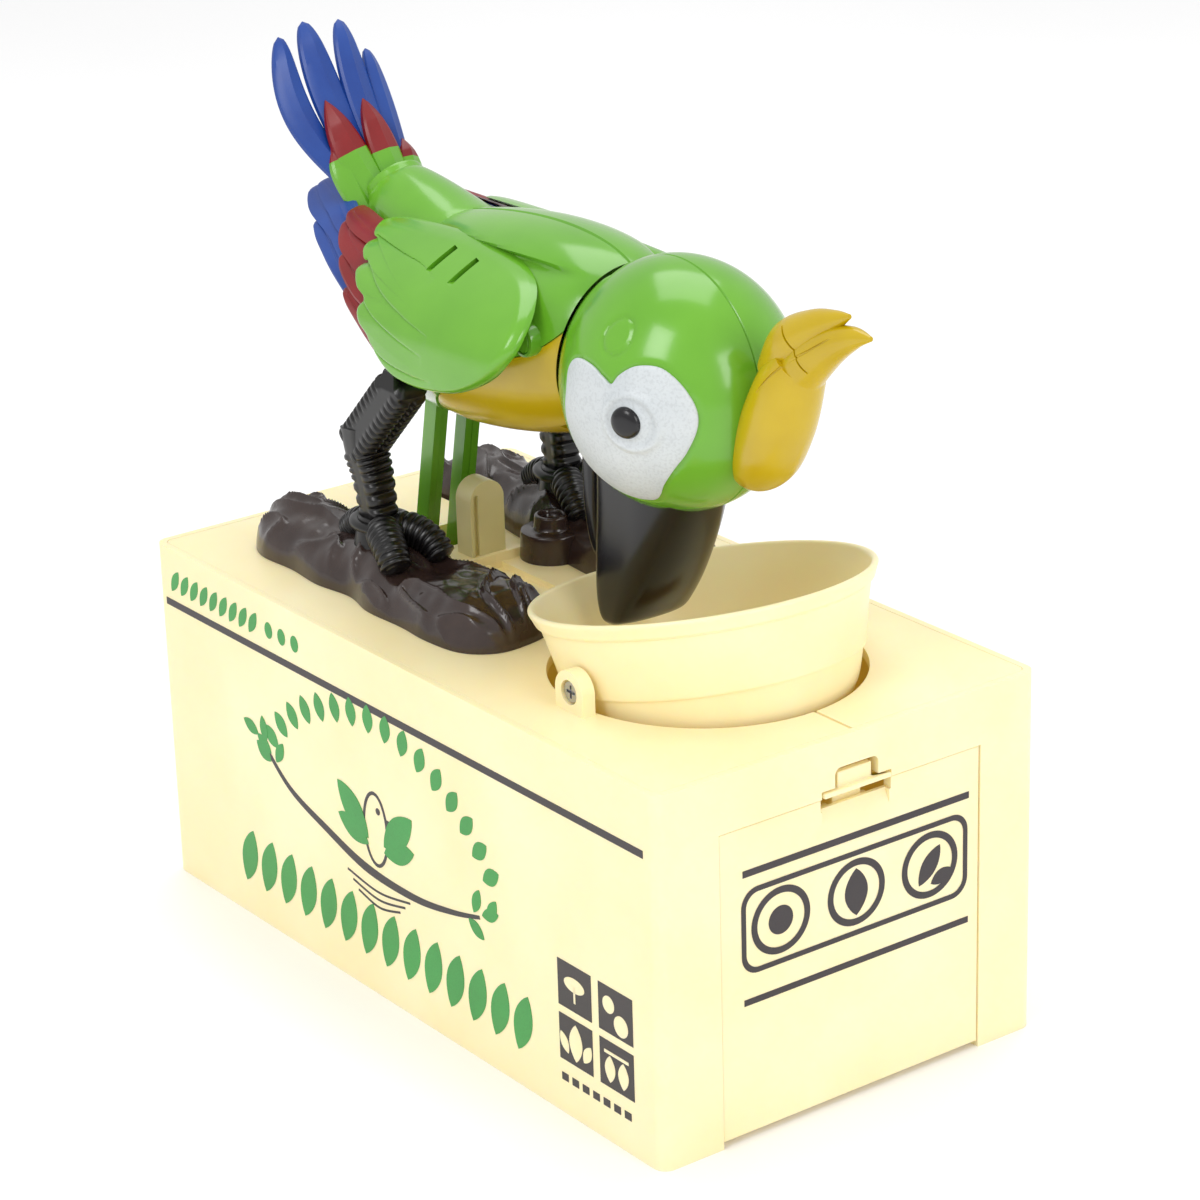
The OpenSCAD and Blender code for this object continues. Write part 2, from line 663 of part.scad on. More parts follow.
// Hooked beak: a side outline crossed with a front outline
module beak_front(half_w) {
  rotate([90, 0, 90]) linear_extrude(60)
    polygon([[-half_w, 140], [-half_w, 108], [-0.86 * half_w, 99], [-0.6 * half_w, 91], [-0.3 * half_w, 84],
      [0.3 * half_w, 84], [0.6 * half_w, 91], [0.86 * half_w, 99], [half_w, 108], [half_w, 140]]);
}
module beak_upper() {
  color("dimgray") difference() {
    intersection() {
      sheet(-12, 12) polygon([[20.6, 128], [40, 122], [48, 121], [47.2, 112], [44, 103], [38, 95.5], [31, 89],
        [24, 85.2], [21.4, 85.6], [21.6, 92], [20.6, 104]]);
      beak_front(9.8);
    }
    at(head_c) flat_ball(head_r - skin, 23.6 - skin);
  }
}
module beak_lower() {
  color("dimgray") difference() {
    intersection() {
      sheet(-12, 12) polygon([[17, 131], [20.4, 128], [20.4, 106], [20.7, 98], [19.4, 95.2], [17.8, 99], [17.2, 108]]);
      beak_front(8);
    }
    at(head_c) flat_ball(head_r - skin, 23.6 - skin);
  }
}
// Swept-back plume on the crown, ending in two curved tips
module crest() {
  color("gold") difference() {
    translate([0, 6.5, 0]) rotate([90, 0, 0]) linear_extrude(13) {
      polygon([[55, 131], [60, 126], [66, 126.5], [73, 130], [78, 138], [81, 146], [86, 153], [92, 158.5],
        [98, 162.5], [96, 164.5], [88, 159.5], [81, 156], [84.5, 161], [92, 166], [90, 167.5], [80, 164.5],
        [72, 160], [66, 155], [62, 150]]);
    }
    at(head_c) flat_ball(head_r, 23.6);
  }
}
// Frame of the eye on the left of the head, +Z pointing out of the face
module at_eye() { at(eye_at) rotate([-68, 0, -24]) children(); }
module eye(side) {
  mirrored_y(side) {
    difference() {
      at_eye() {
        translate([0, 0, -2]) cylinder(r = 5.3, h = 2.8);
        translate([0, 0, 0.7]) cylinder(r1 = 4.4, r2 = 3, h = 1.2);
      }
      at(head_c) flat_ball(head_r, 23.6);
    }
    intersection() {
      at_eye() translate([0, 0, -9]) cylinder(r = 3.4, h = 9.5);
      difference() {
        at(head_c) flat_ball(head_r + 0.1, 23.7);
        at(head_c) flat_ball(head_r - skin - 1, 22.6 - skin);
      }
    }
  }
}
module eye_right() { color("black") eye(-1); }
module eye_left() { color("black") eye(1); }

// Lever on the neck pin that turns the head; its foot is glued to the crown from inside
module head_lever() {
  color("ivory") difference() {
    union() {
      sheet(-4.8, 4.8) disc(neck, 3.2);
      sheet(nod_y[0], nod_y[1]) link_outline(neck + 0.2 * nod_vec, neck + nod_vec, 2.4);
      sheet(-4, 4) link_outline(neck + [2, 0, -1], neck + [17.1, 0, -7.8], 2.4);
    }
    at(neck) ycyl(1.5 + run, -20, 20);
    at(neck + nod_vec) ycyl(1.2 + run, -20, 20);
  }
}
// Lever on the hip shaft: rod arm to the rear, short arm up to the head link
module bellcrank() {
  color("ivory") difference() {
    union() {
      sheet(-9, 2) disc(hip, 3.6);
      sheet(nod_y[0], nod_y[1]) link_outline(hip + 0.2 * nod_vec, hip + nod_vec, 2.4);
      sheet(0.1 - rod_y, rod_t / 2 - rod_y) link_outline(hip + 0.2 * arm_vec, hip + arm_vec, 2.6);
    }
    at(hip) ycyl(1.8 + run, -20, 20);
    at(hip + arm_vec) ycyl(1.2 + run, -20, 20);
    at(hip + nod_vec) ycyl(1.2 + run, -20, 20);
  }
}
// Arm of the body that the left rod pulls, keyed to the left hip boss
module tilt_lever() {
  color("ivory") difference() {
    union() {
      sheet(2.3, 9.5) disc(hip, 3.6);
      sheet(rod_y - rod_t / 2, rod_y - 0.1) link_outline(hip + 0.2 * arm_vec, hip + arm_vec, 2.6);
    }
    at(hip) ycyl(1.8 + run, -20, 20);
    at(hip + arm_vec) ycyl(1.2 + run, -20, 20);
  }
}
module head_link() {
  rear = hip + nod_vec;
  front = neck + nod_vec;
  color("ivory") {
    link(rear, front, 1.9, link_y[0], link_y[1]);
    for (p = [rear, front]) at(p) ycyl(1.2, nod_y[0], link_y[1]);
  }
}

// ---------- bowl ----------
module bowl() {
  color("cornsilk") at(bowl_axis) rotate([0, -bowl_lean, 0]) difference() {
    rotate_extrude($fn = 96) polygon([for (p = bowl_wall) [p[0] * (p[0] > 30 ? bowl_r / 36.2 : 1), p[1]]]);
    // mouth of the coin chute in the floor
    block([-15, -14, -20], [-8, 14, 0]);
    rotate([0, bowl_lean, 0]) for (s = [-1, 1]) ycyl(1.2, s > 0 ? 27 : -40, s > 0 ? 40 : -27);
  }
}
// Floor insert that slides the coin to the chute
module bowl_tray() {
  color("wheat") at(bowl_axis) rotate([0, -bowl_lean, 0]) difference() {
    rotate_extrude($fn = 64) polygon([[0, -8.9], [26.4, -7.93], [26.4, -6.8], [0, -7.6]]);
    block([-15, -14, -20], [-8, 14, 0]);
  }
}
module bowl_screws() {
  color("silver") at(bowl_axis) for (s = [-1, 1]) mirrored_y(s) difference() {
    union() {
      ycyl(2.2, 35, 36.1);
      ycyl(1.5, 32.6, 35);
      ycyl(1.2, 29, 32.7);
    }
    for (a = [0, 90]) rotate([0, a, 0]) block([-1.4, 35.5, -0.3], [1.4, 37, 0.3]);
  }
}

// ---------- door, latch and switches ----------
module coin_door() {
  color("cornsilk") difference() {
    union() {
      block([hx - 2.5, -door_w / 2, 1.5], [hx - 0.3, door_w / 2, door_top]);
      at(door_axis) for (s = [-1, 1]) mirrored_y(s) ycyl(0.9, door_w / 2 - 1, door_w / 2 + 2.8);
      // guide of the latch
      for (s = [-1, 1]) block([hx - 5.2, latch_y + s * 5 - 1, 54], [hx - 2.5, latch_y + s * 5 + 1, 65]);
      for (y = [-30, 29]) block([hx - 4.2, y, 8], [hx - 2.5, y + 1, 62]);
    }
    block([hx - 3, latch_y - 9.1, 66], [hx, latch_y + 9.1, door_top + 1]);
    translate([hx - 0.3, latch_y - 8.7, 63]) rotate([0, -24, 0]) cube([3, 17.4, 8]);
  }
}
module door_latch() {
  color("cornsilk") {
    block([hx - 2.4, latch_y - 8.6, 68.9], [hx + 0.5, latch_y + 8.6, 70]);
    block([hx - 2.2, latch_y - 4.4, 70], [hx - 0.7, latch_y + 4.4, 73.2]);
    block([hx - 4.4, latch_y - 3.7, 56], [hx - 3.2, latch_y + 3.7, 70]);
    block([hx - 4.4, latch_y - 3.7, 68.9], [hx - 2.2, latch_y + 3.7, 70]);
  }
}
module power_switch() {
  color("dimgray") difference() {
    block([-in_x, 16, 12], [-in_x + 6, 37, 25]);
    block([-in_x - 1, 20, 16], [-in_x + 4, 33, 21]);
  }
}
module power_knob() {
  color("black") {
    block([-in_x + 0.3, 20.3, 16.3], [-in_x + 3.6, 28.6, 20.7]);
    block([-hx - 0.9, 21.4, 16.8], [-in_x + 0.4, 27.4, 20.2]);
    for (i = [0:2]) block([-hx - 1.4, 22.2 + 1.7 * i, 16.8], [-hx - 0.8, 23 + 1.7 * i, 20.2]);
  }
}
module start_switch() {
  color("dimgray") difference() {
    union() {
      block([part_x - 4, -8.9, 50.1], [part_x + 2, 8.9, 65.9]);
      for (s = [-1, 1]) block([part_x + 1.9, s * 7.7 - 1, 54], [part_x + 6.6, s * 7.7 + 1, 62]);
    }
    at(lever_axis) ycyl(1.2, -20, 20);
  }
}
module coin_lever() {
  color("ivory") {
    at(lever_axis) {
      ycyl(1.2 - run, -8.6, 8.6);
      ycyl(2, -6.3, 6.3);
      block([0, -6.3, -0.7], [14, 6.3, 0.7]);
      block([13, -14, -0.7], [22, 14, 0.7]);
    }
  }
}

box_shell();
cover_right();
cover_left();
guide_post();
bottom_plate();
battery_cover();
case_screws();
partition();
batteries();
battery_contacts();
gearbox_frame();
motor();
gear_shafts();
rocker_shaft();
log_right();
log_left();
leg_right();
leg_left();
foot_right();
foot_left();
hip_shaft();
start_switch();
power_switch();
body_right();
body_left();
breast();
wing_right();
wing_left();
tail_fan();
neck_arm();
neck_pin();
head_right();
head_left();
beak_upper();
beak_lower();
crest();
eye_right();
eye_left();
head_lever();
tilt_lever();
bellcrank();
head_link();
push_rod_left();
push_rod_right();
rocker_body();
rocker_head();
crank_gear();
gear_b();
gear_a();
motor_pinion();
bowl();
bowl_tray();
bowl_screws();
coin_door();
door_latch();
power_knob();
coin_lever();
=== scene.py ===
"""Looks of the coin-eating parrot bank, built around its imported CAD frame.

Lengths are in millimetres until a mesh is made. +X is towards the coin door, +Y the bird's left, +Z up.
"""
import json
import math

import bmesh
import bpy
import numpy as np
from mathutils import Matrix, Vector, noise


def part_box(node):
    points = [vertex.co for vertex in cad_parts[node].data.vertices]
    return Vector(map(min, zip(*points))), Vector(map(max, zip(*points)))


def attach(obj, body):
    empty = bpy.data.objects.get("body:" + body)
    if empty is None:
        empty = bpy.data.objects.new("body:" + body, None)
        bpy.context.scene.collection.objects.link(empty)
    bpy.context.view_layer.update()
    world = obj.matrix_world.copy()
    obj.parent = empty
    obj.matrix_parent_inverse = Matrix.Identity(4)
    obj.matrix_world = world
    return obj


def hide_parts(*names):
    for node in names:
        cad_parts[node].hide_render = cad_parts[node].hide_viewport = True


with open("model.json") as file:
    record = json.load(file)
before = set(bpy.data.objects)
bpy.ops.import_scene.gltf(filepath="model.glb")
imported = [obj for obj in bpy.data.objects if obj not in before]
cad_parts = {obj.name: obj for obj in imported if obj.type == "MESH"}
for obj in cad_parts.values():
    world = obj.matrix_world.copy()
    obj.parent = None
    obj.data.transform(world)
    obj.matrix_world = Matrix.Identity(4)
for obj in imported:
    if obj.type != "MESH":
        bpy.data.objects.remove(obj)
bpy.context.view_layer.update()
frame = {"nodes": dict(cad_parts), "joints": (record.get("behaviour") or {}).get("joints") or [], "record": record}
MM = 0.001


# ---------- sizes and places taken from the frame ----------
def box_mm(node):
    """Lowest and highest corner of a CAD node, in millimetres."""
    low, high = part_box(node)
    return np.array(low) / MM, np.array(high) / MM


def joint_at(name):
    """Point on a hinge's axis, in millimetres."""
    return next(np.array(j["pos_m"]) / MM for j in frame["joints"] if j["name"] == name)


SHELL_LOW, SHELL_HIGH = box_mm("box_shell")
TOP = SHELL_HIGH[2]                                  # height of the box
FRONT, SIDE = SHELL_HIGH[0], SHELL_LOW[1]            # door end, and the side with the print
HIP, NECK, BOWL_AXIS = joint_at("body_tilt"), joint_at("head_nod"), joint_at("bowl_tip")
HEAD_LOW, HEAD_HIGH = box_mm("head_right")
HEAD = np.array([HEAD_HIGH[0] - 26.2, 0, HEAD_HIGH[2] - 26.2])
HEAD_R, HEAD_W = 26.2, -HEAD_LOW[1]
TAIL_ROOT = np.array([-64.0, 0, 158.0])
TAIL_LEAN = math.radians(31)                         # of the fan, from upright
BODY = np.array([-18.0, 0, 140.5])
BODY_A, BODY_B = 50.0, 23.6
BODY_RISE = math.radians(8)
LEG_Y = 25.8


# ---------- materials ----------
def rgb(code):
    """Linear colour of a hex code."""
    parts = [int(code[i:i + 2], 16) / 255 for i in (0, 2, 4)]
    return [c / 12.92 if c <= 0.04045 else ((c + 0.055) / 1.055) ** 2.4 for c in parts] + [1]


def moulded(name, code, deep, rough=0.3, uneven=0.06, fine=900, fine_depth=0.02, wave=60,
            wave_depth=0.05, scatter=0.0, radius=(1, 0.6, 0.2), metal=0.0, coat=0.0, specks=0.0, painted_glow=0.0):
    """Moulded or painted surface: colour drifts between two tones, gloss is uneven, the skin has a
    fine grain and slow sink waves."""
    material = bpy.data.materials.new(name)
    material.use_nodes = True
    nodes, links = material.node_tree.nodes, material.node_tree.links
    shader = nodes["Principled BSDF"]
    shader.inputs["Metallic"].default_value = metal
    shader.inputs["Coat Weight"].default_value = coat
    shader.inputs["Coat Roughness"].default_value = 0.12
    if scatter:
        shader.inputs["Subsurface Weight"].default_value = scatter
        shader.inputs["Subsurface Radius"].default_value = radius
        shader.inputs["Subsurface Scale"].default_value = 0.002
    if painted_glow:                                         # painted glow: faint yellow emission standing in for light that comes through the thin cream walls
        shader.inputs["Emission Color"].default_value = rgb("FFD23C")
        shader.inputs["Emission Strength"].default_value = painted_glow
    place = nodes.new("ShaderNodeTexCoord").outputs["Object"]

    def texture(scale, detail):
        node = nodes.new("ShaderNodeTexNoise")
        node.inputs["Scale"].default_value = scale
        node.inputs["Detail"].default_value = detail
        links.new(place, node.inputs["Vector"])
        return node.outputs["Fac"]

    slow, quick = texture(wave, 3), texture(fine, 2)
    ramp = nodes.new("ShaderNodeValToRGB")
    ramp.color_ramp.elements[0].position, ramp.color_ramp.elements[1].position = 0.3, 0.7
    ramp.color_ramp.elements[0].color, ramp.color_ramp.elements[1].color = rgb(deep), rgb(code)
    links.new(slow, ramp.inputs["Fac"])
    colour = ramp.outputs["Color"]
    if specks:
        dots = nodes.new("ShaderNodeValToRGB")
        dots.color_ramp.elements[0].position, dots.color_ramp.elements[1].position = 0.36, 0.52
        dots.color_ramp.elements[0].color = [1 - specks] * 3 + [1]
        dots.color_ramp.elements[1].color = [1, 1, 1, 1]
        links.new(quick, dots.inputs["Fac"])
        mix = nodes.new("ShaderNodeMix")
        mix.data_type, mix.blend_type = "RGBA", "MULTIPLY"
        mix.inputs[0].default_value = 1
        links.new(colour, mix.inputs[6])
        links.new(dots.outputs["Color"], mix.inputs[7])
        colour = mix.outputs[2]
    links.new(colour, shader.inputs["Base Color"])
    spread = nodes.new("ShaderNodeMapRange")
    spread.inputs["To Min"].default_value = max(rough - uneven, 0.02)
    spread.inputs["To Max"].default_value = rough + uneven
    links.new(slow, spread.inputs["Value"])
    links.new(spread.outputs["Result"], shader.inputs["Roughness"])
    waves, grain = nodes.new("ShaderNodeBump"), nodes.new("ShaderNodeBump")
    waves.inputs["Strength"].default_value, waves.inputs["Distance"].default_value = wave_depth, 0.001
    grain.inputs["Strength"].default_value, grain.inputs["Distance"].default_value = fine_depth, 0.0002
    links.new(slow, waves.inputs["Height"])
    links.new(quick, grain.inputs["Height"])
    links.new(waves.outputs["Normal"], grain.inputs["Normal"])
    links.new(grain.outputs["Normal"], shader.inputs["Normal"])
    return material


# the cream plastic gets a faint painted glow (emission) for the light that shows through its thin walls
CREAM = moulded("cream_plastic", "FBEFC6", "F7E8B8", rough=0.33, fine=1500, wave=35, scatter=0.25,
                radius=(1, 0.62, 0.16), painted_glow=0.05)
GREEN = moulded("green_plastic", "6DB02C", "62A425", rough=0.2, wave=45, coat=0.3)
YELLOW = moulded("yellow_plastic", "CBAE04", "BC9D02", rough=0.24, wave=50, coat=0.2)
BLUE = moulded("blue_paint", "1E4899", "183D8C", rough=0.36, wave=90, fine_depth=0.05)
RED = moulded("red_paint", "8A1417", "780F12", rough=0.36, wave=90, fine_depth=0.05)
WHITE = moulded("white_paint", "D3D8DA", "C4CACD", rough=0.42, fine=1700, fine_depth=0.35, specks=0.1)
BLACK = moulded("black_plastic", "110F0F", "0B0909", rough=0.3, wave=80, coat=0.05)
BEAK = moulded("beak_plastic", "121115", "0C0B0E", rough=0.24, wave=60, coat=0.05)
BROWN = moulded("brown_plastic", "3B2C27", "2E211E", rough=0.24, wave=120, wave_depth=0.3, coat=0.3)
GREY = moulded("grey_plastic", "48484A", "3E3E40", rough=0.5)
NYLON = moulded("nylon", "ECE8DA", "E2DECC", rough=0.45, scatter=0.1)
STEEL = moulded("steel", "B9BABD", "9FA1A5", rough=0.28, metal=1, fine=2500, fine_depth=0.2)
BRASS = moulded("brass", "C9A55A", "B08D46", rough=0.3, metal=1, fine=2500, fine_depth=0.2)
CELL = moulded("battery_skin", "35373C", "2A2C30", rough=0.35)
POST = moulded("post_plastic", "E6DCA4", "DDD294", rough=0.36, scatter=0.2)
DARK_PRINT = moulded("dark_print", "3A3336", "332D2F", rough=0.4, fine=3000, specks=0.1)
GREEN_PRINT = moulded("green_print", "3F9F4A", "379341", rough=0.4, fine=3000, specks=0.1)
FINISHES = {"cream_plastic": CREAM, "green_plastic": GREEN, "yellow_plastic": YELLOW, "blue_paint": BLUE,
            "red_paint": RED, "white_paint": WHITE, "black_plastic": BLACK, "brown_plastic": BROWN,
            "grey_plastic": GREY, "nylon": NYLON, "steel": STEEL, "brass": BRASS, "battery_skin": CELL}
for part in frame["record"]["subparts"]:
    shown = frame["nodes"][part["node"]]
    shown.data.materials.clear()
    shown.data.materials.append(FINISHES[part["material_slot"]])



# ---------- mesh helpers ----------
def make(name, points, faces, materials, body, slot=None, stands_for=(), zones=None, smooth=True):
    """A new piece from points in millimetres. zones gives each face's place in the materials list."""
    mesh = bpy.data.meshes.new(name)
    mesh.from_pydata((np.asarray(points, float) * MM).tolist(), [], faces)
    for material in materials if isinstance(materials, (list, tuple)) else [materials]:
        mesh.materials.append(material)
    if zones is not None:
        mesh.polygons.foreach_set("material_index", zones)
    mesh.polygons.foreach_set("use_smooth", [smooth] * len(faces))
    mesh.validate()
    piece = bpy.data.objects.new(name, mesh)
    bpy.context.scene.collection.objects.link(piece)
    if body:
        settle(piece, body, stands_for)
    return piece


def settle(piece, body, stands_for=()):
    """Lets a finished piece ride on its body and stand for its CAD nodes."""
    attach(piece, body)
    if stands_for:
        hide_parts(*stands_for)
    return piece


def grid(points, loop_u=False, loop_v=False):
    """Points and quads of a surface given as rows of points."""
    points = np.asarray(points, float)
    n, m = points.shape[:2]
    at = np.arange(n * m).reshape(n, m)
    if loop_u:
        at = np.vstack([at, at[:1]])
    if loop_v:
        at = np.hstack([at, at[:, :1]])
    quads = np.stack([at[:-1, :-1], at[1:, :-1], at[1:, 1:], at[:-1, 1:]], -1).reshape(-1, 4)
    return points.reshape(-1, 3), quads.tolist()


def capped(rings):
    """A closed skin over rings of points, each end closed by a fan round its middle."""
    rings = np.asarray(rings, float)
    points, faces = grid(rings, loop_v=True)
    n, m = rings.shape[:2]
    points = np.vstack([points, rings[0].mean(0), rings[-1].mean(0)])
    for i in range(m):
        j = (i + 1) % m
        faces.append([n * m, i, j])
        faces.append([n * m + 1, (n - 1) * m + j, (n - 1) * m + i])
    return points, [f[::-1] for f in faces]


def mended(piece):
    """Faces turned outwards."""
    bm = bmesh.new()
    bm.from_mesh(piece.data)
    bmesh.ops.remove_doubles(bm, verts=bm.verts, dist=1e-7)
    bmesh.ops.recalc_face_normals(bm, faces=bm.faces)
    bm.to_mesh(piece.data)
    bm.free()
    return piece


def baked(piece):
    """The piece with its modifiers applied."""
    mesh = bpy.data.meshes.new_from_object(piece.evaluated_get(bpy.context.evaluated_depsgraph_get()))
    piece.modifiers.clear()
    piece.data = mesh
    return piece


def rounded(piece, width=0.35, angle=30, segments=2):
    """Sharp edges broken, as moulding leaves them."""
    bevel = piece.modifiers.new("edges", "BEVEL")
    bevel.width, bevel.segments, bevel.limit_method = width * MM, segments, "ANGLE"
    bevel.angle_limit, bevel.use_clamp_overlap, bevel.harden_normals = math.radians(angle), True, True
    piece.data.polygons.foreach_set("use_smooth", [True] * len(piece.data.polygons))
    return baked(piece)


def refined(node, body, width=0.35, material=None, angle=30, keep=False):
    """A CAD node's shape with its edges broken."""
    source = frame["nodes"][node].data
    name = node + "_moulding"
    points = [v.co / MM for v in source.vertices]
    piece = make(name, points, [list(p.vertices) for p in source.polygons],
                 material or source.materials[0], None)
    bm = bmesh.new()
    bm.from_mesh(piece.data)
    bmesh.ops.remove_doubles(bm, verts=bm.verts, dist=2e-6)
    bmesh.ops.dissolve_limit(bm, angle_limit=math.radians(1), verts=bm.verts, edges=bm.edges)
    bm.to_mesh(piece.data)
    bm.free()
    rounded(piece, width, angle)
    return settle(piece, body, [node])


def block(low, high):
    """Cutter in the shape of a block."""
    low, high = np.array(low, float), np.array(high, float)
    corners = [[(low, high)[i][0], (low, high)[j][1], (low, high)[k][2]]
               for i in (0, 1) for j in (0, 1) for k in (0, 1)]
    faces = [[0, 1, 3, 2], [4, 6, 7, 5], [0, 4, 5, 1], [2, 3, 7, 6], [0, 2, 6, 4], [1, 5, 7, 3]]
    return make("cutter", corners, faces, [], None, smooth=False)


def carve(piece, *cutters, operation="DIFFERENCE"):
    """Takes cutters out of a piece, or keeps only what lies in them, and removes the cutters."""
    for cutter in cutters:
        cut = piece.modifiers.new("cut", "BOOLEAN")
        cut.operation, cut.solver, cut.object = operation, "EXACT", cutter
        bpy.context.view_layer.update()
        baked(piece)
        bpy.data.objects.remove(cutter)
    return piece


def creased(piece, angle=32):
    piece.data.polygons.foreach_set("use_smooth", [True] * len(piece.data.polygons))
    piece.data.set_sharp_from_angle(angle=math.radians(angle))
    return piece


def curve(points, count, loop=False):
    """Smooth curve through points, with count samples (Catmull-Rom)."""
    points = np.asarray(points, float)
    n = len(points)
    t = np.linspace(0, n if loop else n - 1, count, endpoint=not loop)
    i = np.minimum(t.astype(int), n - 1 if loop else n - 2)
    f = (t - i)[:, None]
    pick = (lambda k: points[k % n]) if loop else (lambda k: points[np.clip(k, 0, n - 1)])
    a, b, c, d = pick(i - 1), pick(i), pick(i + 1), pick(i + 2)
    return 0.5 * (2 * b + (c - a) * f + (2 * a - 5 * b + 4 * c - d) * f ** 2 + (3 * b - a - 3 * c + d) * f ** 3)


def frames(path):
    """Two unit vectors across a path at each of its points."""
    ahead = np.gradient(path, axis=0)
    ahead /= np.linalg.norm(ahead, axis=1)[:, None]
    side = np.cross(ahead, [0, 1.0, 0.001])
    side /= np.linalg.norm(side, axis=1)[:, None]
    return side, np.cross(ahead, side)


def tube(path, radius, around=40, flat=1.0):
    """Closed skin round a path; radius(s, angle) with s from 0 to 1. flat scales it across Y."""
    path = np.asarray(path, float)
    side, across = frames(path)
    s = np.linspace(0, 1, len(path))[:, None]
    angle = np.linspace(0, 2 * math.pi, around, endpoint=False)[None, :]
    r = radius(s, angle) * np.ones((len(path), around))
    rings = (path[:, None] + side[:, None] * (r * np.cos(angle))[..., None]
             + across[:, None] * (r * np.sin(angle) * flat)[..., None])
    return capped(rings)


def mirror_y(points):
    return np.asarray(points, float) * [1, -1, 1]


def both_sides(name, points, faces, materials, body, slot, nodes, zones=None, **extra):
    """The same piece on the bird's right (as given) and mirrored on its left."""
    right = make(name + "_right", points, faces, materials, body, slot, [nodes[0]] if nodes else (), zones)
    left = make(name + "_left", mirror_y(points), [f[::-1] for f in faces], materials, body, slot,
                [nodes[1]] if nodes else (), zones)
    return right, left


# ---------- camera, light and floor ----------
CAM_AZ, CAM_EL, CAM_ROLL = math.radians(53.76), math.radians(21.33), math.radians(-1.69)
CAM_FAR, CAM_AIM, CAM_LENS = 808.7, np.array([9.81, 0, 84.51]), 114.2
back = np.array([math.sin(CAM_AZ) * math.cos(CAM_EL), -math.cos(CAM_AZ) * math.cos(CAM_EL), math.sin(CAM_EL)])
right = np.cross(-back, [0, 0, 1])
right /= np.linalg.norm(right)
up = np.cross(right, -back)
right, up = (right * math.cos(CAM_ROLL) + up * math.sin(CAM_ROLL),
             -right * math.sin(CAM_ROLL) + up * math.cos(CAM_ROLL))
camera = bpy.data.objects.new("camera", bpy.data.cameras.new("camera"))
camera.data.lens, camera.data.sensor_width = CAM_LENS, 36
camera.data.clip_start, camera.data.clip_end = 0.05, 20
camera.matrix_world = Matrix.Translation((CAM_AIM + back * CAM_FAR) * MM) @ Matrix(
    np.column_stack([right, up, back]).tolist()).to_4x4()
bpy.context.scene.collection.objects.link(camera)
bpy.context.scene.camera = camera

world = bpy.data.worlds.new("studio")
world.use_nodes = True
world.node_tree.nodes["Background"].inputs["Color"].default_value = (1, 1, 1, 1)
world.node_tree.nodes["Background"].inputs["Strength"].default_value = 0.72
bpy.context.scene.world = world
bpy.context.scene.view_settings.view_transform = "Standard"


def lamp(name, place, aim, size, power):
    light = bpy.data.lights.new(name, "AREA")
    light.shape, light.size, light.size_y, light.energy = "RECTANGLE", size[0], size[1], power
    piece = bpy.data.objects.new(name, light)
    piece.location = place
    piece.rotation_euler = (Vector(aim) - Vector(place)).to_track_quat("-Z", "Y").to_euler()
    bpy.context.scene.collection.objects.link(piece)


lamp("key", (0.25, -1.0, 1.1), (0, 0, 0.1), (0.5, 0.7), 5.8)
lamp("side", (1.15, 0.1, 0.6), (0, 0, 0.1), (0.4, 0.6), 3.5)
lamp("overhead", (-0.3, 0.3, 1.3), (0, 0, 0.1), (0.9, 0.9), 6.2)

floor_paint = moulded("floor_paint", "FFFFFF", "FDFDFD", rough=0.6, wave=3, fine=300)
FLOOR = 4.0
n = 24
xs = np.linspace(-FLOOR, FLOOR, n) / MM
sweep = np.array([[[x, y, 0] for x in xs] for y in xs])
floor = make("floor", *grid(sweep), floor_paint, None)

# ---------- box ----------
refined("box_shell", "base", 0.45)
refined("cover_right", "base", 0.3)
refined("cover_left", "base", 0.3)
refined("guide_post", "base", 0.35, POST)
refined("bottom_plate", "base", 0.25)
refined("battery_cover", "base", 0.2)
refined("coin_door", "door", 0.3)
refined("door_latch", "latch", 0.25)
refined("power_knob", "power_knob", 0.15)
refined("bowl_screws", "bowl", 0.12)
for node, body in (("push_rod_left", "rod_left"), ("push_rod_right", "rod_right"), ("neck_arm", "bird")):
    refined(node, body, 0.25)

# ---------- bowl ----------
BOWL_LEAN = math.radians(12.2)
BOWL_R = 36.2
lean = np.array(Matrix.Rotation(-BOWL_LEAN, 3, "Y"))
outer = [[0, -13], [24, -13], [26.6, -12.9], [27.6, -12.2], [29.2, -9], [30.6, -4], [30.95, -2.9], [31.3, -2.75],
         [31.6, -2.2], [32.6, 3], [33.9, 8.6], [34.3, 10.2], [34.9, 10.6], [35.2, 10.9], [35.6, 11.9], [36.1, 13],
         [BOWL_R, 13.5], [35.95, 13.9], [35.4, 14], [34.9, 13.7], [34.4, 12.6], [32.9, 9], [31, 3], [29.7, -2],
         [28.4, -6.4], [27, -8], [25, -8.7], [0, -9]]
profile = np.vstack([curve(outer[:4], 14), curve(outer[3:8], 20), curve(outer[7:12], 18), curve(outer[11:21], 40),
                     curve(outer[20:], 40)])
profile = profile[np.r_[True, np.linalg.norm(np.diff(profile, axis=0), axis=1) > 0.02]]
turn = np.linspace(0, 2 * math.pi, 160, endpoint=False)
ring = np.array([[[r * math.cos(a), r * math.sin(a), z] for a in turn] for r, z in profile])
ring[..., 0] -= 0.0
bowl = make("bowl_dish", *grid(ring @ lean.T + BOWL_AXIS, loop_v=True), CREAM, None)
mended(bowl)
chute = block([-15, -14, -20], [-8, 14, -5])
chute.data.transform(Matrix.Translation(Vector(BOWL_AXIS * MM)) @ Matrix.Rotation(-BOWL_LEAN, 4, "Y"))
creased(carve(bowl, chute), 40)
settle(bowl, "bowl", ["bowl"])
refined("bowl_tray", "bowl", 0.2)


WING_Y = 30.0


def wing_y(x, z, out=0.0):
    """Y of the right wing's face: upright below, bowed over the back above."""
    return -(WING_Y - 0.055 * np.maximum(z - 143, 0) ** 2 - 0.0006 * (x + 12) ** 2) - out


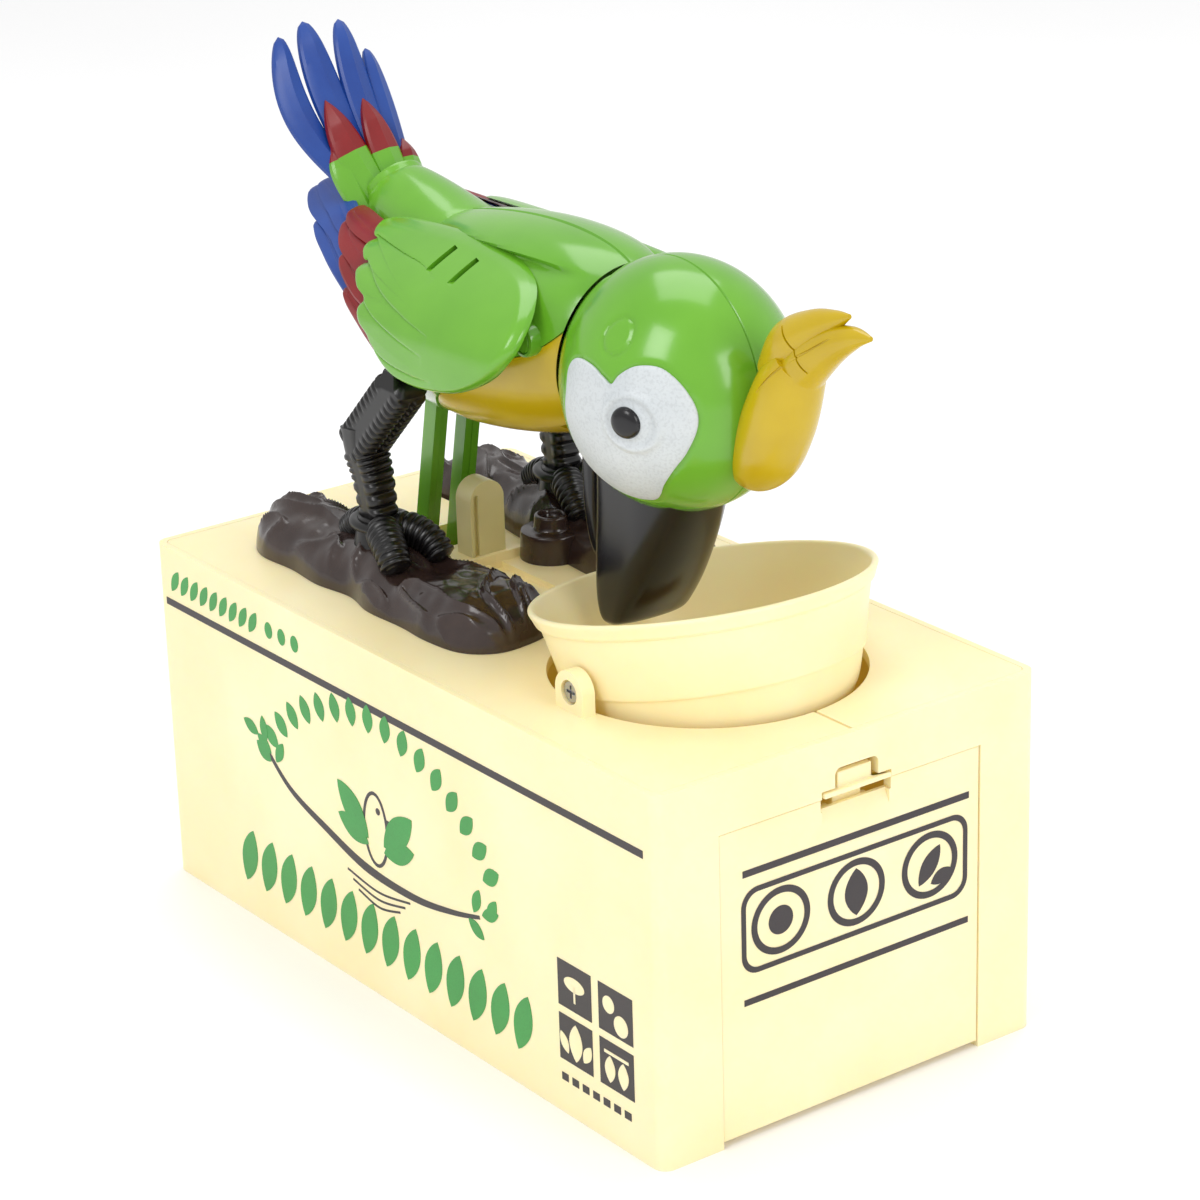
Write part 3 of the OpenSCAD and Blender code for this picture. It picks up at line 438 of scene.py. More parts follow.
# ---------- body ----------
def egg(less, name, material, rows=72, around=144):
    """The body's form, an egg with blunt ends; less makes it smaller all round. The top has a seam."""
    t = np.linspace(0.02, math.pi - 0.02, rows)
    angle = np.linspace(0, 2 * math.pi, around, endpoint=False)
    seam = np.radians([-1.6, -0.7, 0, 0.7, 1.6])
    angle = np.unique(np.round(np.r_[angle[(angle > 0.04) & (angle < 2 * math.pi - 0.04)], seam % (2 * math.pi)], 6))
    off = np.abs((angle + math.pi) % (2 * math.pi) - math.pi)
    groove = np.where(off < math.radians(1), 0.45, 0.0) if less == 0 else 0 * off
    r = (BODY_B - less) * np.abs(np.sin(t)) ** 0.62 * (1 + 0.035 * np.cos(t))
    x = (BODY_A - less) * np.cos(t)
    rr = np.maximum(r[:, None] - groove[None], 0.2)
    ring = np.stack([x[:, None] + 0 * rr, rr * np.sin(angle), rr * np.cos(angle)], -1)
    tilt = np.array(Matrix.Rotation(-BODY_RISE, 3, "Y"))
    ring = ring @ tilt.T + BODY
    behind = np.clip((-20 - ring[..., 0]) / 48, 0, 1)
    ring[..., 1] *= 1 - 0.5 * behind                  # the egg narrows towards the tail
    over = np.clip((ring[..., 2] - 159.6) / 3, 0, 1)
    room = np.maximum(-wing_y(ring[..., 0], ring[..., 2]), 8) - 2.7 - less + 12 * over ** 2    # seat under the wing
    ring[..., 1] = np.sign(ring[..., 1]) * -np.log(np.exp(-np.abs(ring[..., 1])) + np.exp(-room) - np.exp(
        -np.abs(ring[..., 1]) - room))
    return mended(make(name, *capped(ring), material, None))


def ball(centre, r, across, name="cutter", material=(), rows=90, around=120, seam=0.0):
    """Ball flattened along Y, with its poles on that axis and an optional groove round the middle."""
    t = np.linspace(0.03, math.pi - 0.03, rows)
    if seam:
        t = np.sort(np.r_[t[np.abs(t - math.pi / 2) > 0.035], math.pi / 2 + np.array([-0.03, -0.012, 0, 0.012, 0.03])])
    depth = np.where(np.abs(t - math.pi / 2) < 0.005, seam, 0.0)
    angle = np.linspace(0, 2 * math.pi, around, endpoint=False)
    rr = (r - depth) * np.sin(t)
    ring = np.stack([rr[:, None] * np.cos(angle), (across * np.cos(t))[:, None] + 0 * angle,
                     rr[:, None] * np.sin(angle)], -1)
    return mended(make(name, *capped(ring + centre), material, None))


SKIN, HEAD_ROOM = 2.0, 0.6
BREAST_SEAM = [[-62, 98], [-40, 113.5], [-17.1, 129], [-4, 136.6], [6.3, 141.4], [15.2, 145], [21, 149.2], [26, 154.8], [32, 161],
               [44, 172]]


def below_breast(lift=0.0):
    """Cutter that fills the space under the seam between the green halves and the breast."""
    seam_line = curve(BREAST_SEAM, 70) + [0, lift]
    outline = np.r_[seam_line, [[44, 90], [-62, 90]]]
    ring = np.stack([np.column_stack([outline[:, 0], np.full(len(outline), y), outline[:, 1]]) for y in (-50, 50)])
    count = len(outline)
    points, faces = grid(ring, loop_v=True)
    return mended(make("cutter", points, list(faces) + [list(range(count)), list(range(count, 2 * count))[::-1]], [], None))


def body_shell(name, material, less):
    shell = egg(less, name, material)
    inside = carve(egg(less + SKIN, "cutter", []), ball(HEAD, HEAD_R + HEAD_ROOM + SKIN, HEAD_W + HEAD_ROOM + SKIN))
    carve(shell, ball(HEAD, HEAD_R + HEAD_ROOM, HEAD_W + HEAD_ROOM), inside,
          block([0, -8.4, 145], [30, 8.4, 155.5]), block([-53, -8, 100], [-35, 8, 128]),
          block([12, -10.5, 100], [40, 10.5, 133]))
    return shell


green = body_shell("body_shell_green", GREEN, 0)
rump_path = curve([[-29, 0, 141], [-42, 0, 148.4], [-53, 0, 154.8], [-59.8, 0, 159.2], [-62.8, 0, 161.4]], 40)
rump = mended(make("cutter", *tube(rump_path, lambda s, a: 16.4 - 8.4 * np.clip((s - 0.22) / 0.6, 0, 1) ** 0.85
                                   - 1.6 * np.clip(s * 14 - 13, 0, 1) ** 2, 64, 0.92),
                   GREEN, None))
inner = egg(SKIN - 0.4, "cutter", [])
carve(rump, inner)
carve(green, rump, operation="UNION")
carve(green, below_breast())
creased(green)
settle(green, "bird", ["body_right", "body_left"])
breast = body_shell("breast_shell", YELLOW, 0.5)
carve(breast, below_breast(-0.15), operation="INTERSECT")
creased(breast)
settle(breast, "bird", ["breast"])

# ---------- head ----------
head = ball(HEAD, HEAD_R, HEAD_W, "head_shell", GREEN, 150, 220, seam=0.35)
FACE = [[31.4, 141.9], [31.8, 146.6], [34.6, 149], [39.6, 148.9], [43.4, 147.4], [45.9, 146.4], [47.6, 148.6],
        [50.6, 150.6], [54.8, 150.6], [58.6, 147.6], [61, 143.2], [61.2, 138.8], [59.4, 134], [56.6, 130],
        [53, 125.6], [49.8, 122], [46.5, 120.6], [40.5, 120.8], [34.6, 123.6], [31.0, 128.6], [30, 135.6]]
face_line = curve(FACE, 260, loop=True)


def on_head(xz, out=0.0):
    """Points on the right side of the head over places given in X and Z."""
    xz = np.asarray(xz, float)
    reach = np.clip(1 - ((xz[..., 0] - HEAD[0]) ** 2 + (xz[..., 1] - HEAD[2]) ** 2) / HEAD_R ** 2, 0.01, 1)
    y = -HEAD_W * np.sqrt(reach)
    p = np.stack([xz[..., 0], y, xz[..., 1]], -1)
    normal = (p - HEAD) / np.array([HEAD_R ** 2, HEAD_W ** 2, HEAD_R ** 2])
    normal /= np.linalg.norm(normal, axis=-1)[..., None]
    return p + normal * np.asarray(out)[..., None]


# groove round the face on both sides, pressed into the head
co = np.array([v.co for v in head.data.vertices]) / MM
near = np.abs(co[:, 1]) > 6
reach = np.min(np.linalg.norm(co[:, None, [0, 2]] - face_line[None, ::2], axis=2), axis=1)
boss = np.linalg.norm(co[:, [0, 2]] - [NECK[0] + 1, NECK[2]], axis=1)
sink = np.where(near, 0.45 * np.exp(-(reach / 0.5) ** 2) + 0.35 * np.exp(-((boss - 3.4) / 0.35) ** 2), 0)
way = (co - HEAD) / np.array([HEAD_R ** 2, HEAD_W ** 2, HEAD_R ** 2])
way /= np.linalg.norm(way, axis=1)[:, None]
head.data.vertices.foreach_set("co", ((co - way * sink[:, None]) * MM).ravel())
inner = ball(HEAD, HEAD_R - SKIN, HEAD_W - SKIN, rows=60, around=80)
carve(head, inner, block([8, -8.9, 145.8], [29, 8.9, 163.4]), block([16.8, -10, 100], [48.2, 10, 131]))
creased(head, 40)
settle(head, "head", ["head_right", "head_left"])

EYE = np.array([50.5, 139.4])                        # X and Z of the eye on the head
middle = np.array([46.5, 138.0])
steps = np.r_[np.linspace(0, 0.9, 40), 0.94, 0.97, 0.99, 1.0, 1.004]
lift = np.r_[np.full(41, 0.32), 0.3, 0.24, 0.12, -0.35]
xz = middle + steps[:, None, None] * (face_line[None] - middle)
eye_far = np.linalg.norm(xz - EYE, axis=-1)
relief = lift[:, None] + 0.55 * np.exp(-((eye_far - 5.5) / 0.8) ** 2) - 0.22 * np.exp(-((eye_far - 4.1) / 0.8) ** 2)
relief[-4:] = lift[-4:, None]
points, faces = grid(on_head(xz, relief), loop_v=True)
both_sides("face_patch", points, faces, WHITE, "head", "white_paint", None)


def dome(centre_xz, r, height, base, rows=14, around=64):
    """Domed button on the head."""
    t = np.linspace(0, math.pi / 2, rows)
    angle = np.linspace(0, 2 * math.pi, around, endpoint=False)
    c = on_head(centre_xz)
    normal = (c - HEAD) / np.array([HEAD_R ** 2, HEAD_W ** 2, HEAD_R ** 2])
    normal /= np.linalg.norm(normal)
    a = np.cross(normal, [0, 0, 1.0])
    a /= np.linalg.norm(a)
    b = np.cross(normal, a)
    s = np.r_[[[r, -1.5]], [[r * math.cos(k) ** 0.7, height * math.sin(k)] for k in t[:-1]]]
    ring = np.array([[c + normal * (base + z) + (a * math.cos(k) + b * math.sin(k)) * q for k in angle] for q, z in s])
    return capped(ring)


points, faces = dome(EYE + [-0.7, -0.1], 3.3, 1.5, 0.2)
both_sides("pupil", points, faces, BEAK, "head", "black_plastic", ["eye_right", "eye_left"])

# ---------- beak ----------
BEAK_FRONT = [[50, 124], [48.3, 117], [45.8, 110.3], [42.4, 103.4], [38.6, 97], [34.4, 91.3], [30.8, 87.4], [27.4, 85.9]]
BEAK_REAR = [[20.6, 127], [20.7, 117], [20.4, 108], [20, 100], [20, 93], [20.6, 88.6], [21.6, 86.4], [22.6, 85.4]]
BEAK_WIDE = [10.2, 10.2, 10.2, 10.2, 10.1, 9.8, 9.3, 8.2]
count = 60
front, rear = curve(BEAK_FRONT, count), curve(BEAK_REAR, count)
wide = curve(np.array(BEAK_WIDE)[:, None], count)[:, 0]
angle = np.linspace(0, 2 * math.pi, 72, endpoint=False)
c, s = np.cos(angle), np.sin(angle)
power = np.where(c > 0, 0.86, 0.34)                  # round in front, square behind
fc, fs = np.sign(c) * np.abs(c) ** power, np.sign(s) * np.abs(s) ** power
mid, half = (front + rear) / 2, (front - rear) / 2
ring = np.stack([mid[:, None, 0] + half[:, None, 0] * fc, wide[:, None] * fs,
                 mid[:, None, 1] + half[:, None, 1] * fc], -1)
upper = mended(make("beak_hook", *capped(ring), BEAK, None))
carve(upper, ball(HEAD, HEAD_R - SKIN, HEAD_W - SKIN, rows=60, around=80))
creased(upper, 35)
settle(upper, "head", ["beak_upper"])
LOWER_FRONT = [[20.6, 128], [20, 118], [19.6, 108], [19.3, 100], [19, 95.6]]
LOWER_REAR = [[15.2, 128], [15, 118], [14.9, 108], [15.4, 99], [17.2, 93.2]]
front, rear = curve(LOWER_FRONT, 40), curve(LOWER_REAR, 40)
wide = curve(np.array([8, 8, 7.6, 6, 2.2])[:, None], 40)[:, 0]
mid, half = (front + rear) / 2, (front - rear) / 2
ring = np.stack([mid[:, None, 0] + half[:, None, 0] * fc, wide[:, None] * fs, mid[:, None, 1] + half[:, None, 1] * fc], -1)
lower = mended(make("beak_under", *capped(ring), BEAK, None))
carve(lower, ball(HEAD, HEAD_R - SKIN, HEAD_W - SKIN, rows=60, around=80))
creased(lower, 35)
settle(lower, "head", ["beak_lower"])

# ---------- crest ----------
# middle line, half height and half width of the plume's root and of its two tips
root = curve([[57, 0, 130.5], [61.5, 0, 129.2], [66.5, 0, 133], [70.5, 0, 140], [74, 0, 147.4], [77.6, 0, 153.6]], 50)
root_r = lambda s, a: curve(np.array([1.5, 5.6, 7.6, 8, 7.4, 5.9])[:, None], 50) * (1 + 0 * a)
tip_a = curve([[69, 0, 150], [75, 0, 156.8], [82, 0, 161.6], [88, 0, 164.6], [92, 0, 166.2]], 46)
tip_a_r = lambda s, a: curve(np.array([3.5, 5, 3.8, 2, 0.5])[:, None], 46) * (1 + 0 * a)
tip_b = curve([[73.5, 0, 146], [79, 0, 153.2], [86, 0, 158.8], [93, 0, 162.2], [98.2, 0, 163.2]], 46)
tip_b_r = lambda s, a: curve(np.array([4.5, 4.9, 3.9, 2.3, 0.5])[:, None], 46) * (1 + 0 * a)
plume = mended(make("crest_plume", *tube(root, root_r, 56, 0.86), YELLOW, None))
for path, r in ((tip_a, tip_a_r), (tip_b, tip_b_r)):
    carve(plume, mended(make("cutter", *tube(path, r, 48, 0.95), YELLOW, None)), operation="UNION")
carve(plume, ball(HEAD, HEAD_R + 0.02, HEAD_W + 0.02))
cleft = curve([[90, 162.2], [84.3, 158.4], [79, 155], [74, 150.6], [69.6, 145.4]], 40)
skin = np.array([v.co for v in plume.data.vertices]) / MM
out = [-skin[np.argsort(np.hypot(skin[:, 0] - x, skin[:, 2] - z))[:12], 1].min() for x, z in cleft]
cleft = np.stack([cleft[:, 0], np.polyval(np.polyfit(cleft[:, 0], out, 2), cleft[:, 0]) - 0.1, cleft[:, 1]], -1)
for side in (-1, 1):                                 # cleft between the lobes, and the joint across them
    line = curve(cleft[::5] * [1, side, 1], 40)
    carve(plume, mended(make("cutter", *tube(line, lambda s, a: 0.12 + 0.2 * np.sin(math.pi * s) + 0 * a, 20), YELLOW, None)))
    joint = block([-0.22, -4, -7.4], [0.22, 4, 7.4])
    joint.data.transform(Matrix.Translation(Vector((81.2 * MM, side * 7.4 * MM, 156.2 * MM)))
                         @ Matrix.Rotation(math.radians(-44), 4, "Y"))
    carve(plume, joint)
creased(plume, 38)
settle(plume, "head", ["crest"])

# ---------- wings ----------
WING_EDGE = [[-37.8, 160.5], [-26.1, 161], [-14.2, 161.2], [-0.2, 160.4], [11, 158.3], [17.4, 154.9], [20, 151],
             [19.4, 146.5], [13.4, 140.6], [3.2, 135.5], [-8.5, 133.2], [-17.8, 133.1], [-23.3, 134.4], [-27.6, 137.2],
             [-29.6, 140.4], [-32.7, 142.6], [-34, 145.4], [-32.6, 148], [-37, 149.6], [-40, 152], [-37, 153.9],
             [-41, 154.4], [-43.2, 155.8], [-40.4, 157.7], [-44.4, 158.2], [-45.4, 159.2], [-43, 160]]
FEATHER_LINES = [[[-40.4, 157.7], [-28.5, 156.9], [-19.8, 156.4], [-12, 155.2]],
                 [[-37, 153.9], [-25.5, 150.3], [-12, 147.4], [-4, 146.2]],
                 [[-32.6, 148], [-25.2, 145.4], [-13.9, 142.7], [-6, 141.4]],
                 [[-29.6, 140.4], [-22.2, 137], [-11.3, 136], [-4, 136.4]]]
WING_EYE = np.array([-6.0, 149.0])
edge = curve(WING_EDGE, 480, loop=True)
steps = np.r_[np.linspace(0.0, 0.96, 110), 0.97, 0.98, 0.988, 0.995, 1.0]
r = steps[:, None]
xz = WING_EYE + r[..., None] * (edge[None] - WING_EYE)
depth = np.zeros(xz.shape[:2])
for line in FEATHER_LINES:
    path = curve(line, 90)
    ahead = np.gradient(path, axis=0)
    ahead /= np.linalg.norm(ahead, axis=1)[:, None]
    away = xz[:, :, None] - path[None, None]
    nearest = np.argmin((away ** 2).sum(-1), -1)
    gap = np.take_along_axis(away, nearest[..., None, None], 2)[:, :, 0]
    way = ahead[nearest]
    d = way[..., 0] * gap[..., 1] - way[..., 1] * gap[..., 0]     # below the line is negative
    off = np.abs((gap * way).sum(-1))
    fade = np.clip(1 - nearest / 86, 0, 1) ** 0.7 * np.exp(-(off / 0.8) ** 2)
    depth += fade * (0.35 * np.exp(-(d / 0.3) ** 2) + 0.6 * np.clip(1 + d / 4.2, 0, 1) * (d < 0))
roll = np.clip((r - 0.9) / 0.1, 0, 1)
dome_lift = 0.9 + 1.3 * (1 - r ** 2.4) - 1.6 * roll ** 3
y = wing_y(xz[..., 0], xz[..., 1], dome_lift - depth)
face = np.stack([xz[..., 0], y, xz[..., 1]], -1)
under = face[::-3].copy()
under[..., 1] = wing_y(under[..., 0], under[..., 2], -2.1)
points, faces = grid(np.vstack([face, under]), loop_v=True)
right_wing = mended(make("wing_shell_right", points, faces, GREEN, None))
slots = []
for x in (-16.4, -7.2):
    cutter = block([-0.9, -40, -0.2], [0.9, -8, 4.0])
    cutter.data.transform(Matrix.Translation(Vector([x * MM, 0, (155.9 - 0.06 * (x + 16)) * MM])) @ Matrix.Rotation(math.radians(8), 4, "Y"))
    slots.append(cutter)
carve(right_wing, *slots)
creased(right_wing, 50)
left_wing = right_wing.copy()
left_wing.data = right_wing.data.copy()
left_wing.name = "wing_shell_left"
left_wing.data.transform(Matrix.Scale(-1, 4, (0, 1, 0)))
left_wing.data.flip_normals()
bpy.context.scene.collection.objects.link(left_wing)
settle(right_wing, "bird", ["wing_right"])
settle(left_wing, "bird", ["wing_left"])


def feather(root, tip, half, bow=0.0, thick=1.3, rows=40, blunt=0.5):
    """Pointed blade from root to tip in 2-D: returns (place along, across) rows and their lift.
    half is its half width, bow the sideways bend of its middle line."""
    root, tip = np.array(root, float), np.array(tip, float)
    s = np.linspace(0, 1, rows)
    along = tip - root
    normal = np.array([-along[1], along[0]]) / np.linalg.norm(along)
    line = root + s[:, None] * along + (bow * np.sin(math.pi * s))[:, None] * normal
    w = half * np.clip(1 - np.clip((s - 0.45) / 0.55, 0, 1) ** 2.4, 0, 1) ** blunt * (0.75 + 0.25 * np.sin(math.pi * np.clip(s, 0, 0.5)))
    w[-1] = 0.02
    across = np.array([-1, -0.96, -0.8, -0.45, -0.12, 0, 0.12, 0.45, 0.8, 0.96, 1])
    lift = np.array([0, 0.3, 0.5, 0.7, 0.92, 1.0, 0.92, 0.7, 0.5, 0.3, 0]) * thick
    top = line[:, None] + (w[:, None] * across)[..., None] * normal
    return top, lift[None] * np.clip(w / half * 1.4, 0, 1)[:, None], s


def blade_mesh(top, lift, place):
    """Closed blade: place(points2d, lift) puts it in space; the underside lies at lift 0 minus."""
    upper_side = place(top, lift)
    lower_side = place(top, -0.25 * lift - 0.3)
    ring = np.concatenate([upper_side, lower_side[:, ::-1]], 1)
    return capped(ring)


def wing_place(layer):
    return lambda p, lift: np.stack([p[..., 0], wing_y(p[..., 0], p[..., 1], lift - layer), p[..., 1]], -1)


def quill(low_edge, width, thick=1.5, rows=60):
    """Flight feather from its lower edge, root to tip, and its width; the upper side tucks under the next."""
    line = curve(low_edge, rows)
    s = np.linspace(0, 1, rows)
    ahead = np.gradient(line, axis=0)
    ahead /= np.linalg.norm(ahead, axis=1)[:, None]
    normal = np.stack([ahead[:, 1], -ahead[:, 0]], -1)
    w = width * np.maximum(1 - s ** 4, 0.004) ** 0.6
    across = np.array([0, 0.02, 0.08, 0.2, 0.4, 0.55, 0.6, 0.66, 0.85, 1])
    lift = np.array([-0.4, 0.5, 0.86, 1, 1, 0.94, 0.76, 0.84, 0.7, 0.3]) * thick
    return line[:, None] + (w[:, None] * across)[..., None] * normal[:, None], lift[None] * np.clip(w / width * 2, 0.1, 1)[:, None]


QUILLS = [  # name, lower edge from root to tip, width, layer below the wing's face, colour
    ("quill_blue_a", [[-46, 153.2], [-57.3, 155], [-65.1, 156.7], [-73.5, 158.4], [-78.8, 159.9]], 3.3, 3.4, BLUE),
    ("quill_blue_b", [[-44, 148.6], [-52.9, 151.7], [-60, 153.6], [-71, 155.4], [-76.3, 156.9], [-80, 158.6]], 3.6, 4.2, BLUE),
    ("quill_blue_c", [[-40, 142.6], [-46.9, 145.9], [-57.4, 149.9], [-64.1, 152.2], [-69.2, 154.4]], 4.0, 5.0, BLUE),
    ("quill_red_a", [[-34, 154.6], [-45.5, 155.4], [-51.2, 156], [-56, 157], [-59, 158.6]], 3.3, 2.2, RED),
    ("quill_red_b", [[-30, 147.6], [-40.8, 150.3], [-46.1, 151.5], [-51.8, 153], [-56, 155.2], [-57.8, 157]], 4.2, 2.9, RED),
    ("quill_red_c", [[-26, 141.6], [-35.4, 144.5], [-39.3, 145.7], [-45.8, 148.5], [-48.9, 150.2], [-50.8, 152]], 4.8, 3.6, RED),
    ("quill_red_d", [[-26.5, 133.2], [-29.2, 133.8], [-34.8, 137.2], [-38.4, 139.8], [-42.6, 143.2], [-45.2, 146.4]], 5.4, 4.2, RED),
]
for name, low_edge, width, layer, paint in QUILLS:
    top, lift = quill(low_edge, width)
    points, faces = blade_mesh(top, lift, wing_place(layer))
    for piece in both_sides(name, points, [f[::-1] for f in faces], paint, "bird", "blue_paint" if paint is BLUE else "red_paint", None):
        creased(piece, 20)

PIN_BOSS = [14.6, -20.4, 147.6]                      # end of the wing's pin, half behind the wing
profile = [[0.05, 1.0], [2.2, 0.95], [2.35, 0.6], [2.6, 0.6], [2.75, 0.95], [3.3, 0.8], [3.5, 0.2], [3.5, -2.5]]
ring = np.array([[[PIN_BOSS[0] + q * math.cos(a), PIN_BOSS[1] - out, PIN_BOSS[2] + q * math.sin(a)]
                  for a in np.linspace(0, 2 * math.pi, 60, endpoint=False)] for q, out in profile])
points, faces = grid(ring, loop_v=True)
for piece in both_sides("pin_boss", points, faces, GREEN, "bird", "green_plastic", None):
    creased(piece, 40)

# ---------- tail ----------
fan_up = np.array([-math.sin(TAIL_LEAN), 0, math.cos(TAIL_LEAN)])
fan_out = np.array([math.cos(TAIL_LEAN), 0, math.sin(TAIL_LEAN)])


def fan_place(layer):
    """Places in the fan: first across (Y), then up along it."""
    def put(p, lift):
        y = p[..., 0]
        bow_back = 0.010 * y ** 2 + 0.0006 * np.clip(p[..., 1], 0, 99) ** 2
        return (TAIL_ROOT + y[..., None] * [0, 1, 0] + p[..., 1][..., None] * fan_up
                + (lift + layer - bow_back)[..., None] * fan_out)
    return put


TAIL = [  # name, root and tip as (Y, up the fan), half width, bow, layer
    ("tail_blue_a", [-8.0, 4], [-12.4, 40.6], 3.3, 3.9, 0.6),
    ("tail_blue_b", [-4.6, 5], [-6.2, 42.6], 3.9, 1.2, 1.2),
    ("tail_blue_c", [0.6, 5], [2.2, 41.4], 3.6, 1.0, 1.8),
    ("tail_blue_d", [5.2, 4], [7.0, 34.0], 2.8, 0.0, 1.0),
]
TAIL_TIPS = [  # the same for the shorter blades in front, and the height up to which they are green
    ("tail_tip_a", [-8.0, -3], [-9.2, 15.8], 3.4, 0.6, 2.0, 9.9),
    ("tail_tip_b", [-3.4, -3], [-8.7, 23.6], 3.9, 1.0, 3.0, 10.6),
    ("tail_tip_c", [1.6, -3], [-0.2, 22.4], 3.7, 0.2, 3.5, 9.4),
    ("tail_tip_d", [5.4, -3], [6.9, 11.8], 3.0, -0.2, 2.6, 6.8),
]
for place, (name, root_at, tip_at, half_w, bow, layer) in enumerate(TAIL):
    top, lift, s = feather(root_at, tip_at, half_w, bow, thick=2.1)
    points, faces = blade_mesh(top, lift, fan_place(layer))
    creased(make(name, points, faces, BLUE, "bird", "blue_paint", ["tail_fan"] if place == 0 else ()), 16)
for name, root_at, tip_at, half_w, bow, layer, green_to in TAIL_TIPS:
    top, lift, s = feather(root_at, tip_at, half_w, bow, thick=2.2, rows=60, blunt=1.0)
    points, faces = blade_mesh(top, lift, fan_place(layer))
    around = top.shape[1] * 2
    split = (green_to - root_at[1]) / (tip_at[1] - root_at[1])
    zones = [int(i // around / 59 > split) for i in range(59 * around)] + [0, 1] * around
    creased(make(name, points, faces, [GREEN, RED], "bird", "red_paint", zones=zones), 16)

# ---------- legs and feet ----------
KNEE, ANKLE = np.array([-39.8, -25.4, 113.4]), np.array([-36.5, -24.6, 98.0])
hip_end = np.array([HIP[0] + 5.5, -LEG_Y, HIP[2] + 3.5])
away = (KNEE - hip_end) / np.linalg.norm(KNEE - hip_end)


def ribs(s, start, end, number, height):
    """Saw-toothed ribs along a limb."""
    t = np.clip((s - start) / (end - start), 0, 1) * number
    return height * np.where((s > start) & (s < end), np.clip(1.6 - 3.2 * np.abs(t % 1 - 0.5), 0, 1), 0)


def square_round(a, k):
    """Radius factor of a rounded square section."""
    return 1 / (np.abs(np.cos(a)) ** k + np.abs(np.sin(a)) ** k) ** (1 / k)


thigh = hip_end + np.linspace(0.02, 1.1, 180)[:, None] * (KNEE - hip_end)
points, faces = tube(thigh, lambda s, a: (4.1 * square_round(a, 5) + ribs(s, 0.05, 0.98, 12, 1.0)
                                          * np.clip(np.abs(np.cos(a)) * 1.8 - 0.6, 0, 1)
                                          * (1 - 0.9 * (np.abs(np.cos(a)) > 0.985))) * np.clip((1 - s) * 30, 0.55, 1), 72, 0.98)
slim = 1.9 + np.clip((132.6 - points[:, 2]) * 0.75, 0, 3.4)      # flat where it passes under the wing
points[:, 1] = np.clip(points[:, 1], -LEG_Y - slim, -LEG_Y + slim)
both_sides("thigh", points, faces, BLACK, "base", "black_plastic", ["leg_right", "leg_left"])
shin = curve([KNEE + [0, 0, 3.5], KNEE + [0.6, 0, -2], (KNEE + ANKLE) / 2 + [0.4, 0, 0], ANKLE + [0, 0, -2]], 130)
points, faces = tube(shin, lambda s, a: (4.5 - 1.3 * s) * square_round(a, 3.4) + ribs(s, 0.34, 0.96, 7, 0.85)
                     * np.clip(np.abs(np.cos(a)) * 1.7 - 0.5, 0, 1), 72, 1.0)
both_sides("shin", points, faces, BLACK, "base", "black_plastic", None)
angle = np.linspace(0, 2 * math.pi, 60, endpoint=False)
lap = np.linspace(0, 2 * math.pi, 24, endpoint=False)
collar = ANKLE + np.array([[[(6.6 + 1.3 * math.cos(k)) * math.cos(a) + 0.8, (5.6 + 1.3 * math.cos(k)) * math.sin(a),
                             -2.2 + 1.1 * math.sin(k)] for k in lap] for a in angle])
points, faces = grid(collar, loop_u=True, loop_v=True)
both_sides("ankle_ring", points, [f[::-1] for f in faces], BLACK, "base", "black_plastic", ["foot_right", "foot_left"])
hub = np.linspace(0, 1, 30)[:, None] * np.array([0, 0, -6.0]) + ANKLE + [0, 0, -1.2]
points, faces = tube(hub, lambda s, a: 4.7 + 1.2 * s + 0 * a, 48)
both_sides("ankle_hub", points, faces, BLACK, "base", "black_plastic", None)
for name, line, thick in (("toe_outer", [[3, -1, -3.6], [7.5, -3.6, -3.4], [12, -5.2, -5.2], [15.4, -6, -8.4]], 3.7),
                          ("toe_inner", [[3, 1, -3.6], [7.5, 3.6, -3.4], [12, 5.2, -5.2], [15.4, 5.8, -8.4]], 3.5),
                          ("toe_hind", [[-3, 0, -3.8], [-8, 0, -4.6], [-12.5, 0, -7.6]], 3.1)):
    path = curve(ANKLE + np.array(line), 120)
    points, faces = tube(path, lambda s, a: (thick - 0.8 * s) * np.sqrt(np.clip(1 - ((s - 0.5) * 2) ** 12, 0.05, 1))
                         + ribs(s, 0.15, 0.93, 8, 0.6) * np.clip(1.3 + 0 * a, 0, 1), 48)
    both_sides(name, points, faces, BLACK, "base", "black_plastic", None)

# ---------- logs ----------
LOG_EDGE = [[-77.6, -15], [-79, -24], [-76, -32], [-68, -36], [-56, -35.6], [-45, -36.4], [-34, -35], [-24, -37],
            [-12, -36.6], [-2, -37], [8, -35.4], [13.4, -30], [14, -23], [11.5, -15], [4, -11.4], [-6, -11.6],
            [-18, -12.4], [-30, -13.4], [-42, -14.6], [-54, -16.4], [-62, -16.4], [-70, -14]]
log_line = curve(LOG_EDGE, 300, loop=True)
steps = np.r_[np.linspace(0, 0.9, 80), np.linspace(0.91, 1, 26)]
spine = np.stack([np.clip(log_line[:, 0], -68, 2), np.full(300, -22.5)], -1)
xy = spine[None] + steps[:, None, None] * (log_line[None] - spine[None])


def log_height(x, y):
    h = 8.6 + 1.7 * np.exp(-((x + 64) / 12) ** 2) + 1.6 * np.exp(-((x + 36) / 10) ** 2) - 1.6 * np.exp(-((x + 20) / 6) ** 2)
    return h + 0.8 * np.exp(-((x + 4) / 9) ** 2)


